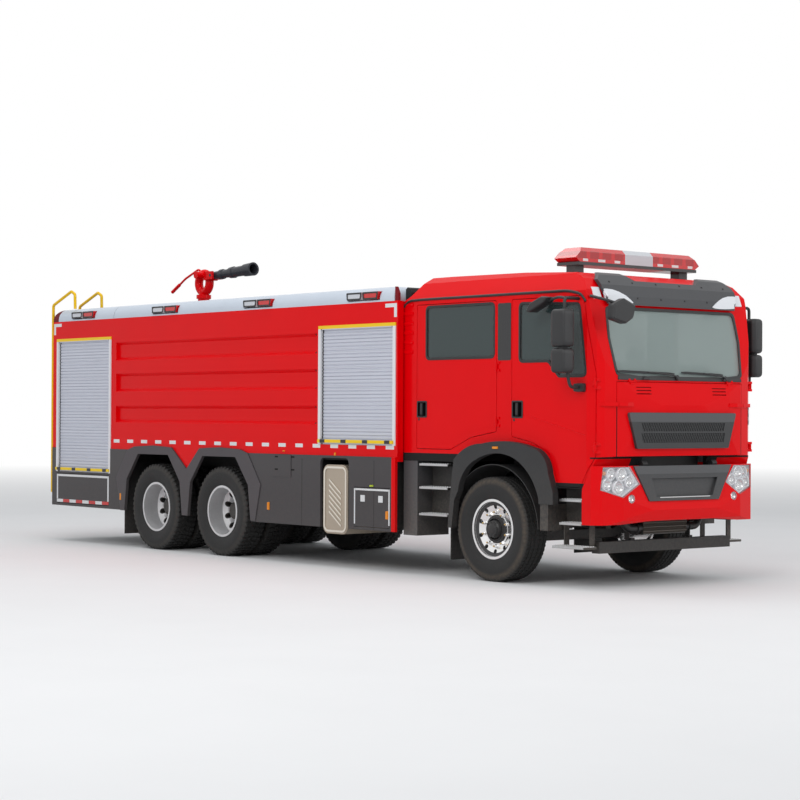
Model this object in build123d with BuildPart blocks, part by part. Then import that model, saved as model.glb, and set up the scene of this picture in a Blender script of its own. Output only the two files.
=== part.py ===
from build123d import *
import os

# A six-wheeled fire truck with a crew cab, a water tank body and a roof monitor.
# Millimetres. +X is the front, +Y the left, +Z up. The tyres stand on Z = 0 and the
# origin is under the middle of the overall length and width.
# Places along the truck are measured from the front axle, forward is positive.

os.makedirs("parts", exist_ok=True)

# Overall reach from the front axle, which sets the origin
front_reach = 1655
rear_reach = 8562
front_axle_x = (rear_reach - front_reach) / 2

# Fits
panel_gap = 6            # between a door, lid or hatch and its frame
seat_gap = 0.3           # between pieces that rest on each other
bearing_gap = 0.3        # round a shaft or pin that turns
glass_gap = 0.3          # round a pane that sits in its rubber

# Axles and wheels
wheelbase = 4600
bogie_spread = 1400
axle_z = 522
tyre_radius = axle_z
tyre_width = 300
tyre_bore = 288
rim_flange_radius = 300
rim_width = 250
rim_wall = 12
front_tyre_y = 1020
kingpin_y = 850
twin_outer_y = 1078
twin_spacing = 340
rear_axle_xs = (-wheelbase, -wheelbase - bogie_spread)

# Chassis
rail_y = 390             # middle of a rail
rail_height = 285
rail_flange = 80
rail_wall = 9
rail_top_z = 990
rail_front = 1190
rail_rear = -8330

# Cab, outer faces
cab_half_width = 1140
cab_wall = 60
cab_back = -1417
cab_front = 1495
cab_bottom_z = 1180
cab_roof_z = 3085
roof_half_width = 1000
drip_rail_z = 2850
screen_foot_z = 2030
screen_head_z = 2700
cab_nose_z = 1270        # lower edge of the front panel

# Tank body, outer faces
body_half_width = 1250
body_rear = -8420
body_front = -1372        # of the side posts that overlap the cab's corners
body_face = -1445         # of the body between the posts
body_red_z = 1210        # where the red side meets the grey skirt
body_top_z = 2850
coving_top_z = 3010
coving_radius = 150
skirt_bottom_z = 430

sides = (("right", -1), ("left", 1))


def ahead(x):
    """X in the model for a place x forward of the front axle."""
    return front_axle_x + x


def save(piece, name):
    """Label a finished piece and write its file."""
    piece.part.label = name
    export_step(piece.part, f"parts/{name}.step")


def block(x, y, z, mode=Mode.ADD):
    """A box between two places on each axis, x from the front axle."""
    with Locations((ahead(sum(x) / 2), sum(y) / 2, sum(z) / 2)):
        Box(abs(x[1] - x[0]), abs(y[1] - y[0]), abs(z[1] - z[0]), mode=mode)


def side_plane(out):
    """Seen from the right, out from the middle: local x forward from the front axle, y up."""
    return Plane(origin=(front_axle_x, -out, 0), x_dir=(1, 0, 0), z_dir=(0, -1, 0))


def front_plane(x):
    """Seen from the front: local x to the left, local y up."""
    return Plane(origin=(ahead(x), 0, 0), x_dir=(0, 1, 0), z_dir=(1, 0, 0))


def top_plane(z):
    """Seen from above: local x forward from the front axle, local y to the left."""
    return Plane(origin=(front_axle_x, 0, z), x_dir=(1, 0, 0), z_dir=(0, 0, 1))


def prism(plane, points, depth, mode=Mode.ADD, taper=0):
    """A closed outline on a plane, pushed depth along the plane's normal."""
    with BuildSketch(plane) as outline:
        with BuildLine():
            Polyline(*points, close=True)
        make_face()
    extrude(to_extrude=outline.sketch, amount=depth, taper=taper, mode=mode)


def rounded_prism(plane, points, radius, depth, mode=Mode.ADD):
    """As prism, with every corner of the outline rounded."""
    with BuildSketch(plane) as outline:
        with BuildLine():
            FilletPolyline(*points, close=True, radius=radius)
        make_face()
    extrude(to_extrude=outline.sketch, amount=depth, mode=mode)


def rod(start, end, radius, mode=Mode.ADD):
    """A round bar between two points, x from the front axle."""
    foot = Vector(ahead(start[0]), start[1], start[2])
    head = Vector(ahead(end[0]), end[1], end[2])
    with BuildSketch(Plane(origin=foot, z_dir=head - foot)) as section:
        Circle(radius)
    extrude(to_extrude=section.sketch, amount=(head - foot).length, mode=mode)


def tube_path(points, bend, radius, mode=Mode.ADD):
    """A bent round bar along points, x from the front axle."""
    with BuildLine() as route:
        FilletPolyline(*[(ahead(p[0]), p[1], p[2]) for p in points], radius=bend)
    start = route.line @ 0
    with BuildSketch(Plane(origin=start, z_dir=route.line % 0)) as section:
        Circle(radius)
    sweep(sections=section.sketch, path=route.line, mode=mode)


def spun(start, end, profile, mode=Mode.ADD):
    """A body turned about the line from start to end; profile as (along, radius)."""
    foot = Vector(ahead(start[0]), start[1], start[2])
    head = Vector(ahead(end[0]), end[1], end[2])
    plane = Plane(origin=foot, x_dir=head - foot, z_dir=(0, -1, 0))
    with BuildSketch(plane) as outline:
        with BuildLine():
            Polyline(*profile, close=True)
        make_face()
    revolve(profiles=outline.sketch, axis=Axis(foot, head - foot), mode=mode)


def wheel_plane(x, y, side):
    """Local x outward from the wheel's middle, local y up from the axle."""
    return Plane(origin=(ahead(x), y, axle_z), x_dir=(0, side, 0), z_dir=(side, 0, 0))


def axle_line(x):
    return Axis((ahead(x), 0, axle_z), (0, 1, 0))


def turned(plane, points, axis, mode=Mode.ADD):
    """A closed outline turned about an axis."""
    with BuildSketch(plane) as outline:
        with BuildLine():
            Polyline(*points, close=True)
        make_face()
    revolve(profiles=outline.sketch, axis=axis, mode=mode)


# Tyres: half section as (share of the half width, radius)
shoulder_radius = tyre_radius - 22
bulge_radius = 415
tyre_half = tyre_width / 2
tread_half = tyre_half - 24
bead_half = rim_width / 2 - 20


def tyre_outline():
    """Half of the section as (outward, radius), mirrored to the whole."""
    half = (
        (bead_half, tyre_bore),
        (tyre_half - 4, bulge_radius - 55),
        (tyre_half, bulge_radius),
        (tyre_half - 10, shoulder_radius - 28),
        (tread_half, tyre_radius - 6),
        (tread_half - 30, tyre_radius),
    )
    return half + tuple((-w, r) for w, r in reversed(half))


def rim_outline(disc_at, disc_half=rim_wall / 2):
    """Rim barrel with a wheel disc at disc_at, as (outward, radius)."""
    lip = rim_width / 2
    inner = tyre_bore - seat_gap - rim_wall
    return (
        (-lip, rim_flange_radius),
        (-lip + rim_wall, rim_flange_radius),
        (-lip + rim_wall + 2, tyre_bore - seat_gap),
        (lip - rim_wall - 2, tyre_bore - seat_gap),
        (lip - rim_wall, rim_flange_radius),
        (lip, rim_flange_radius),
        (lip, inner),
        (disc_at + 40, inner),
        (disc_at + disc_half + 10, hub_radius + 90),
        (disc_at + disc_half, hub_radius + 60),
        (disc_at + disc_half, hub_radius),
        (disc_at - disc_half, hub_radius),
        (disc_at - disc_half, hub_radius + 60),
        (disc_at - disc_half + 6, hub_radius + 90),
        (disc_at + 10, inner),
        (-lip, inner),
    )


hub_radius = 105
drum_radius = 205
stub_radius = 42
hub_end = 60             # how far a hub stands past the wheel's middle
hand_holes = 10
hand_hole_radius = 22
hand_hole_circle = 222
nut_count = 10
nut_circle = 167
nut_radius = 17

for side_name, side in sides:
    plane = wheel_plane(0, side * front_tyre_y, side)
    with BuildPart() as front_tyre:
        turned(plane, tyre_outline(), axle_line(0))
    save(front_tyre, f"front_tyre_{side_name}")

    front_disc_at = 62
    with BuildPart() as front_rim:
        turned(plane, rim_outline(front_disc_at), axle_line(0))
        hub = (
            (-70, stub_radius + bearing_gap),
            (-70, drum_radius),
            (36, drum_radius),
            (50, hub_radius),
            (front_disc_at + rim_wall, hub_radius),
            (hub_end + 55, hub_radius - 20),
            (hub_end + 78, hub_radius - 45),
            (hub_end + 78, 0),
            (hub_end + 50, 0),
            (hub_end + 50, stub_radius + bearing_gap),
        )
        turned(plane, hub, axle_line(0))
        disc_face = Plane(
            origin=(ahead(0), side * (front_tyre_y + front_disc_at), axle_z), z_dir=(0, side, 0)
        )
        with BuildSketch(disc_face.offset(-60)) as holes:
            with PolarLocations(hand_hole_circle, hand_holes):
                Circle(hand_hole_radius)
        extrude(to_extrude=holes.sketch, amount=120, mode=Mode.SUBTRACT)
        with BuildSketch(disc_face.offset(rim_wall / 2)) as nuts:
            with PolarLocations(nut_circle, nut_count):
                RegularPolygon(nut_radius, 6)
        extrude(to_extrude=nuts.sketch, amount=24)
    save(front_rim, f"front_rim_{side_name}")

# Rear wheels: two tyres side by side on one hub, discs back to back
twin_half = twin_spacing / 2
for number, axle in enumerate(rear_axle_xs, start=1):
    for side_name, side in sides:
        middle_y = twin_outer_y - twin_half
        with BuildPart() as rear_tyres:
            for offset_y in (-twin_half, twin_half):
                plane = wheel_plane(axle, side * (middle_y + offset_y), side)
                turned(plane, tyre_outline(), axle_line(axle))
        save(rear_tyres, f"rear_tyres_{number}_{side_name}")

        plane = wheel_plane(axle, side * middle_y, side)
        lip = rim_width / 2
        inner = tyre_bore - seat_gap - rim_wall
        rim_out = twin_half + lip
        rim_in = twin_half - lip
        seat = tyre_bore - seat_gap
        with BuildPart() as rear_rims:
            outer_rim = (
                (rim_in, rim_flange_radius),
                (rim_in + rim_wall, rim_flange_radius),
                (rim_in + rim_wall + 2, seat),
                (rim_out - rim_wall - 2, seat),
                (rim_out - rim_wall, rim_flange_radius),
                (rim_out, rim_flange_radius),
                (rim_out, inner),
                (95, inner),
                (60, inner - 60),
                (12, hub_radius + 85),
                (12, hub_radius),
                (0, hub_radius),
                (0, hub_radius + 90),
                (rim_in, inner),
            )
            turned(plane, outer_rim, axle_line(axle))
            turned(plane, [(-w, r) for w, r in outer_rim], axle_line(axle))
            rear_hub = (
                (-200, stub_radius + 10 + bearing_gap),
                (-200, drum_radius),
                (-20, drum_radius),
                (-10, hub_radius),
                (120, hub_radius - 5),
                (138, hub_radius - 40),
                (138, 0),
                (110, 0),
                (110, stub_radius + 10 + bearing_gap),
            )
            turned(plane, rear_hub, axle_line(axle))
            outer_face = Plane(
                origin=(ahead(axle), side * middle_y, axle_z), z_dir=(0, side, 0)
            )
            with BuildSketch(outer_face.offset(-120)) as holes:
                with PolarLocations(hand_hole_circle, hand_holes):
                    Circle(hand_hole_radius)
            extrude(to_extrude=holes.sketch, amount=240, mode=Mode.SUBTRACT)
            with BuildSketch(outer_face.offset(12)) as nuts:
                with PolarLocations(nut_circle, nut_count):
                    RegularPolygon(nut_radius, 6)
            extrude(to_extrude=nuts.sketch, amount=24)
        save(rear_rims, f"rear_rims_{number}_{side_name}")

# Chassis frame: two C rails open to the inside, cross members between them
rail_bottom_z = rail_top_z - rail_height
rail_out_y = rail_y + rail_flange / 2
rail_in_y = rail_y - rail_flange / 2
cross_member_xs = (-1750, -3000, -5300, -6800, -8280)
cross_member_length = 90
cab_mount_xs = (1040, -1250)
engine_mount_xs = (330, -330)
tunnel_top_z = 1270      # underside of the cab over the engine
engine_half_width = 330
bumper_front = 1530
bumper_wall = 45
with BuildPart() as chassis_frame:
    for side_name, side in sides:
        web = (side * (rail_out_y - rail_wall), side * rail_out_y)
        block((rail_rear, rail_front), web, (rail_bottom_z, rail_top_z))
        flange = (side * rail_in_y, side * rail_out_y)
        block((rail_rear, rail_front), flange, (rail_top_z - rail_wall, rail_top_z))
        block((rail_rear, rail_front), flange, (rail_bottom_z, rail_bottom_z + rail_wall))
    for x in cross_member_xs:
        block(
            (x - cross_member_length / 2, x + cross_member_length / 2),
            (-rail_out_y + rail_wall, rail_out_y - rail_wall),
            (rail_bottom_z + 115, rail_bottom_z + 240),
        )
        # cab mounts on the rails, engine mounts inside them, arms to the bumper
    for side_name, side in sides:
        mount_y = (side * rail_in_y, side * rail_out_y)
        for x in cab_mount_xs:
            block((x - 50, x + 50), mount_y, (rail_top_z - rail_wall, tunnel_top_z - seat_gap))
        for x in engine_mount_xs:
            block((x - 60, x + 60), (side * (engine_half_width + seat_gap), side * rail_out_y),
                  (720, 800))
        block((rail_front - 20, bumper_front - bumper_wall - seat_gap), mount_y, (765, 825))
    # the low member under the fan
    block((620, 720), (-rail_out_y + rail_wall, rail_out_y - rail_wall),
          (rail_bottom_z, rail_bottom_z + 50))
save(chassis_frame, "chassis_frame")

# Engine with its gearbox behind it and the radiator pack in front, as one plain mass
engine_front = 560
engine_rear = -560
gearbox_rear = -1500
radiator_front = 1190
with BuildPart() as engine_block:
    block((engine_rear, engine_front), (-engine_half_width, engine_half_width), (700, 1230))
    block((gearbox_rear, engine_rear), (-220, 220), (680, rail_top_z - 20))
    block((engine_front, radiator_front - 120), (-60, 60), (800, 920))
    block((radiator_front - 120, radiator_front), (-330, 330), (500, 1160))
    block((radiator_front, radiator_front + 60), (-300, 300), (500, 700))
save(engine_block, "engine_block")

# Front axle: a dropped beam with an eye for each kingpin
beam_half_height = 45
eye_half_height = 62
kingpin_radius = 18
with BuildPart() as front_axle:
    beam = (
        (-kingpin_y, axle_z - 40),
        (-kingpin_y, axle_z + 40),
        (-650, axle_z + 10),
        (-520, axle_z - 40),
        (520, axle_z - 40),
        (650, axle_z + 10),
        (kingpin_y, axle_z + 40),
        (kingpin_y, axle_z - 40),
        (650, axle_z - 80),
        (520, axle_z - 130),
        (-520, axle_z - 130),
        (-650, axle_z - 80),
    )
    prism(front_plane(-45), beam, 90)
    for side_name, side in sides:
        rod((0, side * kingpin_y, axle_z - eye_half_height),
            (0, side * kingpin_y, axle_z + eye_half_height), 52)
        rod((0, side * kingpin_y, axle_z - eye_half_height),
            (0, side * kingpin_y, axle_z + eye_half_height), kingpin_radius + bearing_gap,
            mode=Mode.SUBTRACT)
save(front_axle, "front_axle")

# Knuckles: a fork round the eye, the stub axle and the steering arm
arm_length = 190
arm_z = axle_z - 110
ball_pin_radius = 10
for side_name, side in sides:
    with BuildPart() as knuckle:
        pin = side * kingpin_y
        rod((0, pin, axle_z - 110), (0, pin, axle_z + 110), kingpin_radius)
        for foot, head in ((-110, -eye_half_height - 1), (eye_half_height + 1, 110)):
            rod((0, pin, axle_z + foot), (0, pin, axle_z + head), 50)
            block((-50, 50), (pin, side * (kingpin_y + 78)), (axle_z + foot, axle_z + head))
        block((-50, 50), (side * (kingpin_y + 58), side * (kingpin_y + 88)),
              (axle_z - 110, axle_z + 110))
        rod((0, side * (kingpin_y + 80), axle_z),
            (0, side * (front_tyre_y + hub_end + 40), axle_z), stub_radius)
        prism(top_plane(arm_z), (
            (-20, side * (kingpin_y - 20)),
            (-20, side * (kingpin_y + 20)),
            (-arm_length - 25, side * (kingpin_y + 25)),
            (-arm_length - 25, side * (kingpin_y - 25)),
        ), 34)
        rod((-arm_length, pin, arm_z - 60), (-arm_length, pin, arm_z + 10), ball_pin_radius)
    save(knuckle, f"knuckle_{side_name}")

# Track rod between the two steering arms, under them
with BuildPart() as track_rod:
    rod((-arm_length, -kingpin_y, arm_z - 30), (-arm_length, kingpin_y, arm_z - 30), 18)
    for side_name, side in sides:
        eye = (-arm_length, side * kingpin_y)
        rod((*eye, arm_z - 54), (*eye, arm_z - 1), 26)
        rod((*eye, arm_z - 61), (*eye, arm_z), ball_pin_radius + bearing_gap, mode=Mode.SUBTRACT)
save(track_rod, "track_rod")

# Rear axles: banjo housings, tubes and spindles, with the drive shafts to the gearbox
tube_radius = 68
spindle_radius = stub_radius + 10
spindle_end = twin_outer_y - twin_half + 80
with BuildPart() as rear_axles:
    for axle in rear_axle_xs:
        rod((axle, -640, axle_z), (axle, 640, axle_z), tube_radius)
        rod((axle, -spindle_end, axle_z), (axle, spindle_end, axle_z), spindle_radius)
        with Locations((ahead(axle), 0, axle_z)):
            Sphere(185)
        rod((axle, 0, axle_z + 20), (axle + 330, 0, axle_z + 60), 90)
    rod((rear_axle_xs[1] + 300, 0, axle_z + 56), (rear_axle_xs[0] - 60, 0, axle_z + 40), 45)
    rod((rear_axle_xs[0] + 300, 0, axle_z + 56), (gearbox_rear - 14, 0, 740), 50)
save(rear_axles, "rear_axles")

# Leaf springs: front pair and the long pair that the two rear axles share
front_spring_half = 820
spring_width = 80
bogie_middle = (rear_axle_xs[0] + rear_axle_xs[1]) / 2
rear_spring_half = bogie_spread / 2
with BuildPart() as leaf_springs:
    for side_name, side in sides:
        plane = side_plane(-side * rail_y + spring_width / 2)
        under = axle_z - 40 + seat_gap
        pack = (
            (-110, under), (110, under), (110, under + 46),
            (front_spring_half, rail_bottom_z - 30), (front_spring_half, rail_bottom_z - seat_gap),
            (front_spring_half - 60, rail_bottom_z - seat_gap), (110, under + 92),
            (-110, under + 92), (-front_spring_half + 60, rail_bottom_z - seat_gap),
            (-front_spring_half, rail_bottom_z - seat_gap),
            (-front_spring_half, rail_bottom_z - 30), (-110, under + 46),
        )
        prism(plane, pack, -spring_width)
    for side_name, side in sides:
        plane = side_plane(-side * rail_y + 45)
        low = axle_z + tube_radius + seat_gap
        leaf = (
            (bogie_middle - rear_spring_half - 70, low), (bogie_middle - rear_spring_half + 70, low),
            (bogie_middle - 130, low + 4), (bogie_middle + 130, low + 4),
            (bogie_middle + rear_spring_half - 70, low), (bogie_middle + rear_spring_half + 70, low),
            (bogie_middle + rear_spring_half + 70, low + 26), (bogie_middle + 420, low + 60),
            (bogie_middle + 180, rail_bottom_z - seat_gap),
            (bogie_middle - 180, rail_bottom_z - seat_gap), (bogie_middle - 420, low + 60),
            (bogie_middle - rear_spring_half - 70, low + 26),
        )
        prism(plane, leaf, -90)
save(leaf_springs, "leaf_springs")

# Cab, as the space that three outlines share: side, plan and front view
cab_side = (
    (cab_back, cab_bottom_z), (-575, cab_bottom_z), (-480, 1260), (-150, 1330), (300, 1345),
    (640, 1300), (800, 1180), (885, 960), (1240, 960), (1395, 1262), (cab_front - 30, cab_nose_z),
    (cab_front, 1760),
    (cab_front - 35, screen_foot_z), (1325, screen_head_z), (1285, 2860), (1190, 2970),
    (1040, 3035), (300, 3070),
    (-800, cab_roof_z), (-1130, cab_roof_z), (-1300, 2900), (cab_back, 2820),
)


# Cab plan: half outline as (x, y) from the back to the middle of the front
def cab_plan(inset):
    half = (
        (cab_back + inset, cab_half_width - inset),
        (1300 - inset * 0.3, cab_half_width - inset),
        (1385 - inset * 0.6, cab_half_width - 45 - inset),
        (1430 - inset * 0.8, cab_half_width - 110 - inset * 0.8),
        (1462 - inset, 880 - inset * 0.3),
        (cab_front - 17 - inset, 700),
        (cab_front - inset, 300),
    )
    return half + tuple((x, -y) for x, y in reversed(half))


def cab_section(inset):
    half = (
        (cab_half_width - inset, 300),
        (cab_half_width - inset, drip_rail_z),
        (roof_half_width + 40 - inset, cab_roof_z - 60 - inset * 0.6),
        (roof_half_width - 40 - inset, cab_roof_z - inset),
    )
    return half + tuple((-y, z) for y, z in reversed(half))


def cab_profile(inset, firewall=0):
    """Side outline drawn in by the wall, floor raised over the wheels."""
    w = inset
    f = inset + firewall
    return (
        (cab_back + w, cab_bottom_z + 60), (cab_back + w, 2800), (-1300 + w * 0.8, 2880),
        (-1110, cab_roof_z - w), (-800, cab_roof_z - w), (300, 3070 - w), (1030, 3035 - w),
        (1190 - w * 0.8, 2970 - w * 0.8), (1285 - w, 2860 - w * 0.4), (1325 - w, screen_head_z),
        (cab_front - 35 - w, screen_foot_z - 5), (cab_front - 35 - f, screen_foot_z - 20),
        (cab_front - f, 1760), (cab_front - 30 - f, cab_nose_z + w),
        (1330 - f, 1020 + w), (900 + w, 1020 + w),
        (900 + w, 1400 + w), (-650 - w, 1400 + w), (-650 - w, cab_bottom_z + 60),
    )


firewall = 55
tunnel_half = 470
bumper_back = 1270
with BuildPart() as cab_outer:
    prism(side_plane(cab_half_width + 10), cab_side, -2 * cab_half_width - 20)
    prism(top_plane(300), cab_plan(0), 3000, mode=Mode.INTERSECT)
    prism(front_plane(cab_back - 10), cab_section(0), 3000, mode=Mode.INTERSECT)
    block((-1500, bumper_back + 150), (-tunnel_half, tunnel_half), (800, tunnel_top_z),
          mode=Mode.SUBTRACT)

with BuildPart() as cab_inner:
    prism(side_plane(cab_half_width), cab_profile(cab_wall, firewall), -2 * cab_half_width)
    prism(top_plane(300), cab_plan(cab_wall), 3000, mode=Mode.INTERSECT)
    prism(front_plane(cab_back - 10), cab_section(cab_wall), 3000, mode=Mode.INTERSECT)
    block((-1500, 1500), (-tunnel_half - cab_wall, tunnel_half + cab_wall),
          (800, tunnel_top_z + cab_wall), mode=Mode.SUBTRACT)

# The form under a skin as thick as the service lid
lid_thickness = 42
with BuildPart() as cab_under_lid:
    prism(side_plane(cab_half_width), cab_profile(lid_thickness), -2 * cab_half_width)
    prism(top_plane(300), cab_plan(lid_thickness), 3000, mode=Mode.INTERSECT)

# A thin skin near the outer face, which the panes are cut from
glass_setback = 8
glass_thickness = 8
with BuildPart() as pane_outer:
    prism(side_plane(cab_half_width), cab_profile(glass_setback), -2 * cab_half_width)
    prism(top_plane(300), cab_plan(glass_setback), 3000, mode=Mode.INTERSECT)
    prism(front_plane(cab_back - 10), cab_section(glass_setback), 3000, mode=Mode.INTERSECT)
with BuildPart() as pane_inner:
    inset = glass_setback + glass_thickness
    prism(side_plane(cab_half_width), cab_profile(inset), -2 * cab_half_width)
    prism(top_plane(300), cab_plan(inset), 3000, mode=Mode.INTERSECT)
    prism(front_plane(cab_back - 10), cab_section(inset), 3000, mode=Mode.INTERSECT)

# Door and window outlines, as seen from the right: (x, z)
front_door = (
    (261, 1445), (550, 1392), (797, 1287), (874, 1106), (925, 970), (1225, 970), (1385, 1270),
    (1385, 2060), (1275, 2720), (1230, 2800), (261, 2800),
)
rear_door = ((-1179, 1303), (-640, 1303), (-330, 1430), (47, 1490), (47, 2800), (-1179, 2800))
front_window = ((380, 2190), (780, 2190), (925, 2040), (1285, 2040), (1195, 2716), (380, 2750))
rear_window = ((-1020, 2240), (0, 2240), (0, 2765), (-1020, 2765))
screen_window = ((-884, 2060), (-600, 2035), (600, 2035), (884, 2060), (925, 2400), (905, 2680),
                 (-905, 2680), (-925, 2400))
window_corner = 45
door_corner = 25
door_reach = 150         # how deep the door cut goes in from 20 outside the cab


def grown(points, amount, corner, plane, depth, mode):
    """An outline with round corners, grown or shrunk all round and pushed through."""
    with BuildSketch(plane) as outline:
        with BuildLine():
            FilletPolyline(*points, close=True, radius=corner)
        make_face()
        if amount:
            offset(amount=amount, mode=Mode.REPLACE)
    extrude(to_extrude=outline.sketch, amount=depth, mode=mode)


# Pin hinges: a knuckle on the moving piece between two on the frame
hinge_radius = 11
hinge_pin_radius = 5
hinge_half = 25
# columns: x and distance out of the axis, x from and x to of the frame's leaf,
# x of the door's leaf and of the door's edge, how far out the leaves start, how far out the
# door's leaf passes the frame, z of each hinge
front_hinge = (1390, 1120, 1390, 1412, 1350, 1379, 1050, 1098, (1350, 1960))
rear_hinge = (50, cab_half_width + 11, 50, 90, 10, 41, 1100, cab_half_width + 0.5, (1590, 2140))
lid_hinge_x = 1474
lid_hinge_z = 1986
lid_hinge_ys = (-700, 700)
lid_hinge_radius = 8
lid_pin_radius = 4


def frame_knuckles(side, layout):
    """Two knuckles with a pin between them, at each height of a door's hinges."""
    x, out, leaf_from, leaf_to, door_from, door_edge, root, passing, heights = layout
    y = side * out
    for z in heights:
        rod((x, y, z - 2 * hinge_half), (x, y, z + 2 * hinge_half), hinge_pin_radius)
        for way in (-1, 1):
            low = z + way * (hinge_half + bearing_gap)
            high = z + way * 2 * hinge_half
            rod((x, y, min(low, high)), (x, y, max(low, high)), hinge_radius)
            block((leaf_from, leaf_to), (side * root, y), (low, high))


def door_knuckles(side, layout):
    """The door's knuckle at each height, bored for the pin."""
    x, out, leaf_from, leaf_to, door_from, door_edge, root, passing, heights = layout
    y = side * out
    for z in heights:
        rod((x, y, z - hinge_half), (x, y, z + hinge_half), hinge_radius)
        block((door_from, door_edge), (side * root, y), (z - hinge_half, z + hinge_half))
        block((door_edge, x), (side * passing, y), (z - hinge_half, z + hinge_half))
        rod((x, y, z - hinge_half), (x, y, z + hinge_half), hinge_pin_radius + bearing_gap,
            mode=Mode.SUBTRACT)


lid_half_width = 900
lid_top_z = 1985
lid_back = 1385
grille_outline = ((-658, 1340), (658, 1340), (774, 1690), (-774, 1690))
# fins at the corners of the front panel, on the cab and on the lid: (x, distance out)
fin_z = (1748, 1784)
corner_fin = ((1396, 1078), (1450, 1046), (1488, lid_half_width), (1440, lid_half_width),
              (1380, 1040))
lid_fin = ((1489, lid_half_width - panel_gap), (1503, 790), (1486, 690), (1440, 690),
           (1440, lid_half_width - panel_gap))
# columns: z, middle and half length of each of the three slots a side
louvres = ((1930, 534, 92), (1900, 540, 92), (1868, 555, 88))
corner_rib_zs = (2310, 2410, 2510, 2610, 2710, 2805)
corner_rib_x = (-1385, -1240)
corner_rib_radius = 34
corner_rib_proud = 9
with BuildPart() as lid_pocket:
    lid_opening = (
        (-lid_half_width, 1200), (lid_half_width, 1200), (lid_half_width, lid_top_z),
        (-lid_half_width, lid_top_z),
    )
    prism(front_plane(lid_back), lid_opening, 300)
    add(cab_under_lid.part, mode=Mode.SUBTRACT)
with BuildPart() as cab_shell:
    add(cab_outer.part)
    add(cab_inner.part, mode=Mode.SUBTRACT)
    for outline in (front_door, rear_door):
        grown(outline, 0, door_corner, side_plane(cab_half_width + 20), -door_reach, Mode.SUBTRACT)
        grown(outline, 0, door_corner, side_plane(-cab_half_width - 20), door_reach, Mode.SUBTRACT)
    grown(screen_window, 0, window_corner, front_plane(900), 700, Mode.SUBTRACT)
    for side_name, side in sides:
        fin = [(x, side * out) for x, out in corner_fin]
        prism(top_plane(fin_z[0]), fin, fin_z[1] - fin_z[0])
        rib_y = side * (cab_half_width + corner_rib_proud - corner_rib_radius)
        for z in corner_rib_zs:
            rod((corner_rib_x[0], rib_y, z), (corner_rib_x[1], rib_y, z), corner_rib_radius)
    # the pocket that the service lid lies in, below the windscreen
    add(lid_pocket.part, mode=Mode.SUBTRACT)
    for side_name, side in sides:
        frame_knuckles(side, front_hinge)
        frame_knuckles(side, rear_hinge)
    for y in lid_hinge_ys:
        rod((lid_hinge_x, y - 2 * hinge_half, lid_hinge_z),
            (lid_hinge_x, y + 2 * hinge_half, lid_hinge_z), lid_pin_radius)
        for way in (-1, 1):
            near = y + way * (hinge_half + bearing_gap)
            far = y + way * 2 * hinge_half
            rod((lid_hinge_x, near, lid_hinge_z), (lid_hinge_x, far, lid_hinge_z), lid_hinge_radius)
            block((cab_front - 60, lid_hinge_x), (near, far), (lid_hinge_z, lid_hinge_z + 25))
save(cab_shell, "cab_shell")

with BuildPart() as front_lid:
    add(cab_outer.part)
    add(cab_under_lid.part, mode=Mode.SUBTRACT)
    lid_edge = lid_half_width - panel_gap
    lid_outline = (
        (-lid_edge, 1200), (lid_edge, 1200),
        (lid_edge, lid_top_z - panel_gap), (-lid_edge, lid_top_z - panel_gap),
    )
    prism(front_plane(lid_back), lid_outline, 300, mode=Mode.INTERSECT)
    # recess of the grille with two slots under its upper bar
    rounded_prism(front_plane(cab_front + 20), grille_outline, 20, -42, mode=Mode.SUBTRACT)
    for side_name, side in sides:
        fin = [(x, side * out) for x, out in lid_fin]
        prism(top_plane(fin_z[0]), fin, fin_z[1] - fin_z[0])
        for z, middle, half in louvres:
            block((cab_front - 26, cab_front + 10), (side * (middle - half), side * (middle + half)),
                  (z - 5, z + 5), mode=Mode.SUBTRACT)
    for y in lid_hinge_ys:
        rod((lid_hinge_x, y - hinge_half, lid_hinge_z), (lid_hinge_x, y + hinge_half, lid_hinge_z),
            lid_hinge_radius)
        block((cab_front - 60, lid_hinge_x), (y - hinge_half, y + hinge_half),
              (lid_top_z - 30, lid_top_z - panel_gap))
        block((cab_front - 27, lid_hinge_x), (y - hinge_half, y + hinge_half),
              (lid_top_z - panel_gap, lid_hinge_z))
        rod((lid_hinge_x, y - hinge_half, lid_hinge_z), (lid_hinge_x, y + hinge_half, lid_hinge_z),
            lid_pin_radius + bearing_gap, mode=Mode.SUBTRACT)
save(front_lid, "front_lid")

with BuildPart() as grille:
    with BuildSketch(front_plane(cab_front - 22 + seat_gap)) as field:
        with BuildLine():
            FilletPolyline(*grille_outline, close=True, radius=20)
        make_face()
        offset(amount=-2, mode=Mode.REPLACE)
    extrude(to_extrude=field.sketch, amount=30)
    for low, high in ((1400, 1490), (1510, 1590)):
        slot = ((-580, low), (580, low), (600, high), (-600, high))
        prism(front_plane(cab_front + 20), slot, -20, mode=Mode.SUBTRACT)
save(grille, "grille")

with BuildPart() as windscreen:
    add(pane_outer.part)
    add(pane_inner.part, mode=Mode.SUBTRACT)
    grown(screen_window, -glass_gap, window_corner, front_plane(900), 700, Mode.INTERSECT)
save(windscreen, "windscreen")

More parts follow.
